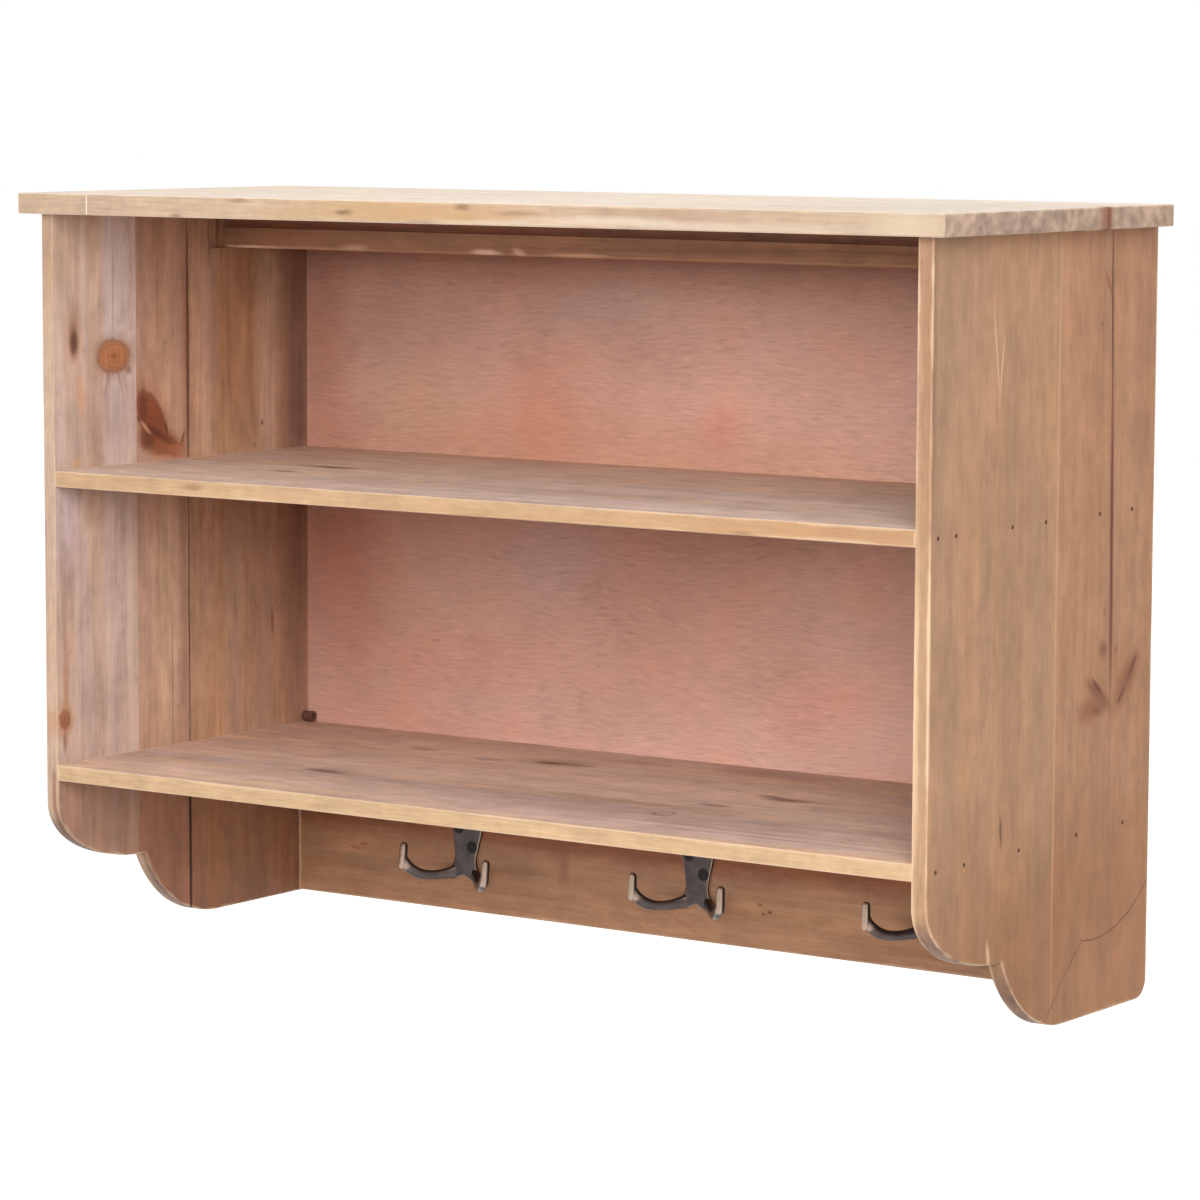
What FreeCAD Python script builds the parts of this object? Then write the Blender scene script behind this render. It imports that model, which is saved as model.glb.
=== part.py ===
import FreeCAD, Part
import math
import os

# Wall plate rack: an open pine case with a middle and a lower shelf, a plywood back,
# and a rail with three double coat hooks. Millimetres.
# +X is to the viewer's right, +Y goes back to the wall, +Z is up.
# The origin is the bottom centre of the rack's box.

# ---- Case ----
case_width = 800.0              # over the outside of the two sides
side_depth = 318.0
side_thickness = 12.0
top_thickness = 16.0
top_side_overhang = 14.0
top_front_overhang = 10.0
top_rear_setback = 3.0
shelf_thickness = 12.5
upper_bay_height = 198.5        # under the top, above the middle shelf
lower_bay_height = 217.5        # between the two shelves
hook_rail_height = 128.0
side_below_rail = 1.0           # the sides end this far under the hook rail
back_panel_thickness = 5.0
top_edge_radius = 1.5
side_edge_radius = 2.0
shelf_edge_radius = 1.0

# ---- Widths of the glued-up boards, counted from the front ----
top_front_board_width = 172.0
shelf_front_board_width = 148.0
left_front_board_width = 97.0
left_middle_board_width = 63.0
right_front_board_width = 175.0
open_joint_gap = 1.2            # dried-out glue joint beside the left middle board

# ---- Scalloped foot of each side ----
front_scallop_length = 105.0
front_scallop_rise = 53.0
foot_drop = 58.0                # from the point between the two scallops to the floor line
rear_scallop_radius = 95.0
rear_corner_radius = 15.0

# ---- Battens under the top, let into the sides ----
batten_setback = 209.0          # front face of the lower batten behind the sides' front
lower_batten_depth = 22.0
lower_batten_height = 16.3
lower_batten_edge_radius = 3.0
upper_batten_depth = 16.0
upper_batten_height = 15.2
housing_depth = 4.0
housing_front_room = 21.5       # the housing starts this far in front of the lower batten
batten_clearance = 0.2

# ---- Rails in front of the back panel ----
hook_rail_thickness = 13.0
hanging_rail_height = 34.0
wall_hole_radius = 2.5
wall_hole_sink_radius = 4.6
wall_hole_sink_depth = 2.1
wall_hole_inset = 68.0          # from the inner face of each side
upper_wall_hole_drop = 18.0     # under the top board
lower_wall_hole_drop = 28.0     # under the lower shelf

# ---- Coat hooks ----
hook_left_inset = 173.6         # from the inner face of the left side
hook_centre_offset = 12.6       # to the right of the rack's middle
hook_right_inset = 160.0        # from the inner face of the right side
hook_tilts = {"left": 4.5, "centre": 1.6, "right": 0.8}   # degrees, right prong down
hook_drop = 98.5                # from the rail's top to the notch between the prongs
hook_plate_thickness = 3.0
hook_plate_height = 52.5
hook_shoulder_height = 40.0
hook_shoulder_half_width = 14.4
hook_waist_height = 9.5
hook_waist_half_width = 9.8
hook_foot_half_width = 15.0
hook_foot_height = 0.5
hook_foot_flat_half_width = 12.0
hook_foot_drop = 5.0
hook_side_bulge = 1.3
hook_waist_bulge = 0.9
hook_waist_bulge_height = 4.275
prong_reach = 41.5              # sideways, from the middle of the plate to the middle of each tip
prong_projection = 31.5         # forward, from the rail to the middle of each tip
arm_root_offset = 9.0
arm_root_depth = 2.75
arm_root_height = -0.4
arm_start_heading = -14.0       # degrees above level
arm_sag_turn = 22.0             # degrees
arm_bend_radius = 18.5
arm_half_height = 3.1
arm_half_thickness = 2.4
tip_half_width = 3.7
tip_thickness = 4.4
tip_top_height = 24.0
tip_bottom_height = 1.5
tip_edge_radius = 1.5
hook_screw_radius = 2.0
hook_screw_head_radius = 4.0
hook_screw_head_depth = 2.2
hook_screw_length = 15.0
hook_screw_recess_depth = 1.4
hook_screw_recess_width = 1.1
hook_screw_recess_span = 4.6
hook_screw_places = ((6.0, 24.5), (-8.0, 38.5))

# ---- Nails, pins and the corner stud ----
nail_radius = 0.9
nail_head_radius = 1.6
nail_head_thickness = 1.0
shelf_nail_length = 32.0
top_nail_length = 35.0
batten_nail_length = 40.0
pin_radius = 0.7
pin_head_radius = 1.3
pin_head_thickness = 0.8
pin_length = 15.0
stud_radius = 4.4
stud_length = 9.5
stud_bore_radius = 2.6
stud_bore_depth = 4.0
stud_shank_radius = 2.0
stud_shank_length = 7.0
stud_clearance = 0.3

# Where the nails sit, as shares of the length that they fasten
right_middle_nails = (0.032, 0.109, 0.355, 0.506, 0.757, 0.91)
right_lower_nails = (0.038, 0.16, 0.403, 0.668, 0.89)
left_shelf_nails = (0.04, 0.19, 0.40, 0.64, 0.90)
top_nails_along_side = (0.08, 0.40, 0.86)
batten_nails_across = (0.12, 0.5, 0.88)
panel_pins_across = (0.06, 0.24, 0.5, 0.76, 0.94)
hanging_rail_pin_drop = 8.5     # under the top board
hook_rail_pin_drop = 102.4      # under the lower shelf

# ---- Places that follow from the sizes ----
overall_height = (top_thickness + upper_bay_height + lower_bay_height + 2 * shelf_thickness
                  + hook_rail_height + side_below_rail)
inner_half = case_width / 2 - side_thickness
front_y = (top_front_overhang - side_depth) / 2
rear_y = front_y + side_depth
panel_y = rear_y - back_panel_thickness
rail_y = panel_y - hook_rail_thickness
shelf_depth = panel_y - front_y
top_under_z = overall_height - top_thickness
middle_shelf_z = top_under_z - upper_bay_height
lower_shelf_z = middle_shelf_z - shelf_thickness - lower_bay_height
rail_top_z = lower_shelf_z - shelf_thickness
batten_y = front_y + batten_setback
batten_rear_y = batten_y + lower_batten_depth
batten_joint_z = top_under_z - upper_batten_height
batten_under_z = batten_joint_z - lower_batten_height
hook_places = {"left": -inner_half + hook_left_inset, "centre": hook_centre_offset,
               "right": inner_half - hook_right_inset}
prong_run = math.hypot(prong_reach - arm_root_offset, prong_projection - arm_root_depth)
prong_heading = math.atan2(prong_projection - arm_root_depth, prong_reach - arm_root_offset)
along = math.cos(math.radians(8.0))     # an edge up to 8 degrees off still counts as along an axis
near = 0.01                     # how close an edge has to lie to count as in a place
pieces = {}


def point(x, y, z):
    return FreeCAD.Vector(x, y, z)


def block(x_low, x_high, y_low, y_high, z_low, z_high):
    """Box between two corners."""
    return Part.makeBox(x_high - x_low, y_high - y_low, z_high - z_low, point(x_low, y_low, z_low))


def rod(radius, length, start, direction):
    return Part.makeCylinder(radius, length, start, direction)


def eased(solid, radius, chosen):
    """Round the edges whose middle point and direction satisfy chosen(middle, direction)."""
    picked = []
    for edge in solid.Edges:
        middle = edge.valueAt((edge.FirstParameter + edge.LastParameter) / 2)
        if chosen(middle, edge.tangentAt(edge.FirstParameter)):
            picked.append(edge)
    return solid.makeFillet(radius, picked)


def slice_depth(solid, y_low, y_high):
    """The stretch of a glued-up panel between two depths: one board of it."""
    box = solid.BoundBox
    margin = side_thickness
    knife = block(box.XMin - margin, box.XMax + margin, y_low, y_high,
                  box.ZMin - margin, box.ZMax + margin)
    return solid.common(knife)


def without(solid, others):
    """The solid with room cut for the others."""
    return solid.cut(others) if others else solid


# ---- Fasteners ----
def nail(head, direction, length, radius=nail_radius, head_radius=nail_head_radius,
         head_thickness=nail_head_thickness):
    """Flat-headed nail: head is the centre of its outer face, direction is the way it is driven."""
    shank = rod(radius, length, head, direction)
    return shank.fuse(rod(head_radius, head_thickness, head, direction)).removeSplitter()


def panel_pin(head):
    return nail(head, point(0, -1, 0), pin_length, pin_radius, pin_head_radius, pin_head_thickness)


def shelf_nail_row(side, shelf_top, shares):
    """Nails driven through one side into the end of a shelf; side is -1 or 1."""
    height = shelf_top - shelf_thickness / 2
    return [nail(point(side * case_width / 2, front_y + share * shelf_depth, height),
                 point(-side, 0, 0), shelf_nail_length) for share in shares]


def top_nail_row(side):
    across = side * (case_width - side_thickness) / 2
    return [nail(point(across, front_y + share * side_depth, overall_height), point(0, 0, -1),
                 top_nail_length) for share in top_nails_along_side]


def batten_nail_row():
    across = [inner_half * (2 * share - 1) for share in batten_nails_across]
    middle_y = batten_rear_y - upper_batten_depth / 2
    return [nail(point(x, middle_y, batten_under_z), point(0, 0, 1), batten_nail_length) for x in across]


def panel_pin_rows():
    heights = (top_under_z - hanging_rail_pin_drop,
               middle_shelf_z - shelf_thickness / 2,
               lower_shelf_z - shelf_thickness / 2,
               rail_top_z - hook_rail_pin_drop)
    across = [inner_half * (2 * share - 1) for share in panel_pins_across]
    return [panel_pin(point(x, rear_y, height)) for height in heights for x in across]


def wall_holes(drop_from, drop, depth):
    """Countersunk holes for the wall screws, one near each side, through a rail and the panel."""
    holes = []
    for side in (-1, 1):
        mouth = point(side * (inner_half - wall_hole_inset), rail_y, drop_from - drop)
        holes.append(rod(wall_hole_radius, depth, mouth, point(0, 1, 0)))
        holes.append(Part.makeCone(wall_hole_sink_radius, wall_hole_radius, wall_hole_sink_depth,
                                   mouth, point(0, 1, 0)))
    return holes


# ---- Sides ----
def side_outline():
    """Side seen from +X, at X = 0: rear edge, top edge, front edge and the scalloped foot."""
    cusp_y = front_y + front_scallop_length
    lift = rear_scallop_radius - foot_drop
    foot_y = cusp_y + math.sqrt(rear_scallop_radius ** 2 - lift ** 2)
    top_rear = point(0, rear_y, top_under_z)
    top_front = point(0, front_y, top_under_z)
    scallop_top = point(0, front_y, foot_drop + front_scallop_rise)
    cusp = point(0, cusp_y, foot_drop)
    foot_front = point(0, foot_y, 0)
    foot_rear = point(0, rear_y - rear_corner_radius, 0)
    corner_top = point(0, rear_y, rear_corner_radius)
    scallop = Part.Ellipse(point(0, front_y, cusp.z + front_scallop_rise),
                           point(0, cusp_y, cusp.z),
                           point(0, cusp_y, cusp.z + front_scallop_rise))
    quarter = scallop.toShape(scallop.parameter(scallop_top), scallop.parameter(cusp))
    foot_centre = point(0, foot_y, rear_scallop_radius)
    edges = [
        Part.makeLine(corner_top, top_rear),
        Part.makeLine(top_rear, top_front),
        Part.makeLine(top_front, scallop_top),
        quarter,
        arc_about(foot_centre, cusp, foot_front),
        Part.makeLine(foot_front, foot_rear),
        arc_about(point(0, foot_rear.y, rear_corner_radius), foot_rear, corner_top),
    ]
    return Part.Wire(edges)


def arc_about(centre, start, end):
    """Shorter arc from start to end about a centre."""
    radius = (start - centre).Length
    halfway = ((start - centre) + (end - centre)).normalize() * radius
    return Part.Arc(start, centre + halfway, end).toShape()


def side_panel(side):
    """One glued-up side with eased front edges and the housing for the battens."""
    outer_x = side * case_width / 2
    inner_x = side * inner_half
    low_x = min(outer_x, inner_x)
    panel = Part.Face(side_outline()).extrude(point(side_thickness, 0, 0))
    panel.translate(point(low_x, 0, 0))
    panel = eased(panel, side_edge_radius, lambda middle, direction:
                  abs(direction.z) > along and abs(middle.y - front_y) < near
                  and abs(middle.x - outer_x) < near)
    reach_x = inner_x + side * housing_depth
    housing = block(min(inner_x, reach_x), max(inner_x, reach_x), batten_y - housing_front_room,
                    batten_rear_y + batten_clearance, batten_under_z - batten_clearance, top_under_z)
    return panel.cut(housing)


def make_left_side(fasteners):
    panel = without(side_panel(-1), fasteners)
    first = front_y + left_front_board_width
    second = first + left_middle_board_width
    pieces["left_side_front_board"] = slice_depth(panel, front_y, first)
    pieces["left_side_middle_board"] = slice_depth(panel, first, second - open_joint_gap / 2)
    pieces["left_side_rear_board"] = slice_depth(panel, second + open_joint_gap / 2, rear_y)


def make_right_side(fasteners):
    panel = without(side_panel(1), fasteners)
    joint = front_y + right_front_board_width
    pieces["right_side_front_board"] = slice_depth(panel, front_y, joint)
    pieces["right_side_rear_board"] = slice_depth(panel, joint, rear_y)


# ---- Top and shelves ----
def make_top(fasteners):
    half = case_width / 2 + top_side_overhang
    top_front = front_y - top_front_overhang
    top_rear = rear_y - top_rear_setback
    panel = block(-half, half, top_front, top_rear, top_under_z, overall_height)
    panel = eased(panel, top_edge_radius, lambda middle, direction:
                  abs(direction.z) < near and middle.y < top_rear - top_edge_radius)
    panel = without(panel, fasteners)
    joint = top_front + top_front_board_width
    pieces["top_front_board"] = slice_depth(panel, top_front, joint)
    pieces["top_rear_board"] = slice_depth(panel, joint, top_rear)


def make_shelf(name, shelf_top, fasteners):
    panel = block(-inner_half, inner_half, front_y, panel_y, shelf_top - shelf_thickness, shelf_top)
    panel = eased(panel, shelf_edge_radius, lambda middle, direction:
                  abs(direction.x) > along and abs(middle.y - front_y) < near)
    panel = without(panel, fasteners)
    joint = front_y + shelf_front_board_width
    pieces[name + "_shelf_front_board"] = slice_depth(panel, front_y, joint)
    pieces[name + "_shelf_rear_board"] = slice_depth(panel, joint, panel_y)


# ---- Battens, rails and back panel ----
def make_battens(fasteners):
    half = inner_half + housing_depth - batten_clearance
    lower = block(-half, half, batten_y, batten_rear_y, batten_under_z, batten_joint_z)
    lower = eased(lower, lower_batten_edge_radius, lambda middle, direction:
                  abs(direction.x) > along and abs(middle.y - batten_y) < near
                  and abs(middle.z - batten_under_z) < near)
    upper = block(-half, half, batten_rear_y - upper_batten_depth, batten_rear_y,
                  batten_joint_z, top_under_z)
    pieces["lower_batten"] = without(lower, fasteners)
    pieces["upper_batten"] = without(upper, fasteners)


def make_hanging_rail(fasteners):
    rail = block(-inner_half, inner_half, rail_y, panel_y, top_under_z - hanging_rail_height, top_under_z)
    pieces["hanging_rail"] = without(rail, fasteners)


def make_hook_rail(fasteners):
    rail = block(-inner_half, inner_half, rail_y, panel_y, rail_top_z - hook_rail_height, rail_top_z)
    pieces["hook_rail"] = without(rail, fasteners)


def make_back_panel(fasteners):
    panel = block(-inner_half, inner_half, panel_y, rear_y, rail_top_z - hook_rail_height, top_under_z)
    pieces["back_panel"] = without(panel, fasteners)


def make_corner_stud():
    """Hollow-ended metal stud that stands out of the left side, in the corner above the lower shelf."""
    centre = point(-inner_half, panel_y - stud_radius - stud_clearance,
                   lower_shelf_z + stud_radius + stud_clearance)
    inward = point(1, 0, 0)
    barrel = rod(stud_radius, stud_length, centre, inward)
    shank = rod(stud_shank_radius, stud_shank_length + stud_length / 2,
                centre - inward * stud_shank_length, inward)
    mouth = centre + inward * (stud_length - stud_bore_depth)
    bore = rod(stud_bore_radius, stud_bore_depth, mouth, inward)
    pieces["corner_stud"] = barrel.fuse(shank).cut(bore).removeSplitter()


# ---- Coat hooks, drawn with the rail's face at Y = 0 and the notch between the prongs at Z = 0 ----
def hook_plate():
    """Flat plate with a round head, a waist and two flared feet."""
    half_outline = [
        (hook_shoulder_half_width, hook_shoulder_height),
        (hook_waist_half_width, hook_waist_height),
        (hook_foot_half_width, hook_foot_height),
        (hook_foot_flat_half_width, -hook_foot_drop),
        (0.0, 0.0),
    ]
    bulge_x = (hook_shoulder_half_width + hook_waist_half_width) / 2 + hook_side_bulge
    bulge_z = (hook_shoulder_height + hook_waist_height) / 2
    middles = [(bulge_x, bulge_z), (hook_waist_half_width + hook_waist_bulge, hook_waist_bulge_height),
               None, None]
    edges = [Part.Arc(point(-hook_shoulder_half_width, 0, hook_shoulder_height),
                      point(0, 0, hook_plate_height),
                      point(hook_shoulder_half_width, 0, hook_shoulder_height)).toShape()]
    for sign in (1, -1):
        for start, end, middle in zip(half_outline[:-1], half_outline[1:], middles):
            first = point(sign * start[0], 0, start[1])
            last = point(sign * end[0], 0, end[1])
            if middle:
                between = point(sign * middle[0], 0, middle[1])
                edges.append(Part.Arc(first, between, last).toShape())
            else:
                edges.append(Part.makeLine(first, last))
    outline = Part.Wire(Part.__sortEdges__(edges))
    return Part.Face(outline).extrude(point(0, -hook_plate_thickness, 0))


def prong_path():
    """Middle line of the right prong's arm: a shallow sag, then a bend up to the tip."""
    start_heading = math.radians(arm_start_heading)
    sag_turn = math.radians(arm_sag_turn)
    bend_heading = start_heading + sag_turn
    bend_start = prong_run - arm_bend_radius * (1 - math.sin(bend_heading))
    sag_radius = bend_start / (math.sin(bend_heading) - math.sin(start_heading))

    def on_arc(heading, radius, turn, reach, height):
        """Point on the path after an arc turns it upward from a heading."""
        later = heading + turn
        return (reach + radius * (math.sin(later) - math.sin(heading)),
                height + radius * (math.cos(heading) - math.cos(later)))

    root = (0.0, arm_root_height)
    sag_middle = on_arc(start_heading, sag_radius, sag_turn / 2, *root)
    sag_end = on_arc(start_heading, sag_radius, sag_turn, *root)
    bend_turn = math.radians(90) - bend_heading
    bend_middle = on_arc(bend_heading, arm_bend_radius, bend_turn / 2, *sag_end)
    bend_end = on_arc(bend_heading, arm_bend_radius, bend_turn, *sag_end)
    root, sag_middle, sag_end, bend_middle, bend_end = [
        prong_point(*spot) for spot in (root, sag_middle, sag_end, bend_middle, bend_end)]
    return Part.Wire([Part.Arc(root, sag_middle, sag_end).toShape(),
                      Part.Arc(sag_end, bend_middle, bend_end).toShape()])


def prong_point(reach, height):
    """Place in the right prong's own upright plane, which runs forward and to the right."""
    return point(arm_root_offset + reach * math.cos(prong_heading),
                 -arm_root_depth - reach * math.sin(prong_heading), height)


def prong_tip():
    """Flattened upright tip with round ends and eased edges."""
    across = point(tip_half_width, 0, 0)
    upward = point(0, 0, tip_half_width)
    rear = -prong_projection + tip_thickness / 2
    top = point(prong_reach, rear, tip_top_height - tip_half_width)
    bottom = point(prong_reach, rear, tip_bottom_height + tip_half_width)
    outline = Part.Wire([
        Part.makeLine(bottom + across, top + across),
        Part.Arc(top + across, top + upward, top - across).toShape(),
        Part.makeLine(top - across, bottom - across),
        Part.Arc(bottom - across, bottom - upward, bottom + across).toShape(),
    ])
    blade = Part.Face(outline).extrude(point(0, -tip_thickness, 0))
    return eased(blade, tip_edge_radius, lambda middle, direction: abs(direction.y) < 0.5)


def right_prong():
    path = prong_path()
    start = prong_point(0, arm_root_height)
    lean = math.radians(arm_start_heading)
    outward = point(math.cos(prong_heading), -math.sin(prong_heading), 0)
    upward = point(0, 0, math.cos(lean)) - outward * math.sin(lean)
    sideways = point(math.sin(prong_heading), math.cos(prong_heading), 0)
    oval = Part.Ellipse(start + upward * arm_half_height, start + sideways * arm_half_thickness, start)
    arm = path.makePipeShell([Part.Wire([oval.toShape()])], True, False)
    return arm.fuse(prong_tip())


def hook_screw(across, height):
    """Countersunk screw with a cross recess, flush with the front of the plate."""
    half = hook_screw_recess_span / 2
    slot = hook_screw_recess_width / 2
    front = -hook_plate_thickness
    bottom = front + hook_screw_recess_depth
    level = block(across - half, across + half, front, bottom, height - slot, height + slot)
    upright = block(across - slot, across + slot, front, bottom, height - half, height + half)
    return screw_room(across, height).removeSplitter().cut([level.fuse(upright)])


def screw_room(across, height):
    """The whole space of a hook screw, recess included."""
    head = point(across, -hook_plate_thickness, height)
    inward = point(0, 1, 0)
    shank = rod(hook_screw_radius, hook_screw_length, head, inward)
    return shank.fuse(Part.makeCone(hook_screw_head_radius, hook_screw_radius, hook_screw_head_depth,
                                    head, inward))


def on_rail(shape, name):
    """Move a hook piece from the drawing position to its place on the hook rail."""
    placed = shape.copy()
    placed.rotate(point(0, 0, 0), point(0, 1, 0), hook_tilts[name])
    placed.translate(point(hook_places[name], rail_y, rail_top_z - hook_drop))
    return placed


def make_hooks():
    """Three hooks with their screws; returns the room that the screws need in the rail."""
    prong = right_prong()
    casting = hook_plate().fuse([prong, prong.mirror(point(0, 0, 0), point(1, 0, 0))]).removeSplitter()
    rooms = [screw_room(across, height) for across, height in hook_screw_places]
    casting = casting.cut(rooms)
    screws = Part.makeCompound([hook_screw(across, height) for across, height in hook_screw_places])
    for name in hook_places:
        pieces["coat_hook_" + name] = on_rail(casting, name)
        pieces["hook_screws_" + name] = on_rail(screws, name)
    return [on_rail(room, name) for name in hook_places for room in rooms]


def main():
    os.makedirs("parts", exist_ok=True)
    nail_groups = {
        "middle_shelf_nails_right": shelf_nail_row(1, middle_shelf_z, right_middle_nails),
        "lower_shelf_nails_right": shelf_nail_row(1, lower_shelf_z, right_lower_nails),
        "middle_shelf_nails_left": shelf_nail_row(-1, middle_shelf_z, left_shelf_nails),
        "lower_shelf_nails_left": shelf_nail_row(-1, lower_shelf_z, left_shelf_nails),
        "top_nails": top_nail_row(-1) + top_nail_row(1),
        "batten_nails": batten_nail_row(),
        "back_panel_pins": panel_pin_rows(),
    }
    for name, nails in nail_groups.items():
        pieces[name] = Part.makeCompound(nails)
    hook_screw_rooms = make_hooks()
    make_corner_stud()
    through = hook_rail_thickness + back_panel_thickness
    upper_holes = wall_holes(top_under_z, upper_wall_hole_drop, through)
    lower_holes = wall_holes(rail_top_z, lower_wall_hole_drop, through)
    pins = nail_groups["back_panel_pins"]
    top_nails = nail_groups["top_nails"]
    left_nails = nail_groups["middle_shelf_nails_left"] + nail_groups["lower_shelf_nails_left"]
    right_nails = nail_groups["middle_shelf_nails_right"] + nail_groups["lower_shelf_nails_right"]
    middle_nails = nail_groups["middle_shelf_nails_left"] + nail_groups["middle_shelf_nails_right"]
    lower_nails = nail_groups["lower_shelf_nails_left"] + nail_groups["lower_shelf_nails_right"]
    make_left_side(left_nails + top_nails + [pieces["corner_stud"]])
    make_right_side(right_nails + top_nails)
    make_top(top_nails + nail_groups["batten_nails"])
    make_shelf("middle", middle_shelf_z, middle_nails + pins)
    make_shelf("lower", lower_shelf_z, lower_nails + pins)
    make_battens(nail_groups["batten_nails"])
    make_hanging_rail(pins + upper_holes)
    make_hook_rail(pins + lower_holes + hook_screw_rooms)
    make_back_panel(pins + upper_holes + lower_holes + hook_screw_rooms)
    for name, shape in pieces.items():
        shape.exportStep("parts/" + name + ".step")
        print(name, len(shape.Solids), "solids", round(shape.Volume / 1000, 2), "cm3",
              "valid" if shape.isValid() else "NOT VALID")


main()
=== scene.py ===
import math

import bmesh
import bpy
from mathutils import Matrix, Vector


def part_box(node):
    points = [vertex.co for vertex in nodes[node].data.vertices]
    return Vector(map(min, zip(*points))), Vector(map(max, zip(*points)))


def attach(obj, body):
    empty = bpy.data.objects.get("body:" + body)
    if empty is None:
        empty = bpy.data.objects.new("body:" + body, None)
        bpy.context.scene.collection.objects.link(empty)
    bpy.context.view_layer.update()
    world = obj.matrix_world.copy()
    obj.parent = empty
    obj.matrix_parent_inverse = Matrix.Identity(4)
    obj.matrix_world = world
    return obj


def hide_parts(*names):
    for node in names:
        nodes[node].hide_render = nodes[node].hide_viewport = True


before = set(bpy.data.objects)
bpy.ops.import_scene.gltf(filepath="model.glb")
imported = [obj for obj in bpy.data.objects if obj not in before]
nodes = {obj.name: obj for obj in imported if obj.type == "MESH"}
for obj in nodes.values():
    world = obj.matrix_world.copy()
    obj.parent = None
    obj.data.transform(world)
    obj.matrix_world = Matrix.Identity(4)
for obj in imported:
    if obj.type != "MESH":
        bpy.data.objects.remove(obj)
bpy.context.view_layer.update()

# The shader helpers work in metres; the tables of knots, marks and hooks are in millimetres and
# their tones are screen colours, 0 to 255. Axes: +X to the viewer's right, +Y back to the wall, +Z up.
MM = 0.001


# ---- Helpers for shader nodes ----
def paint(red, green, blue):
    """Colour as read off a screen, 0 to 255, as the linear colour that a shader takes."""
    def linear(value):
        share = value / 255
        return share / 12.92 if share <= 0.04045 else ((share + 0.055) / 1.055) ** 2.4
    return (linear(red), linear(green), linear(blue), 1.0)


def darker(tone, share):
    """A linear colour times a number; its alpha stays."""
    return tuple(value * share for value in tone[:3]) + (1.0,)


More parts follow.
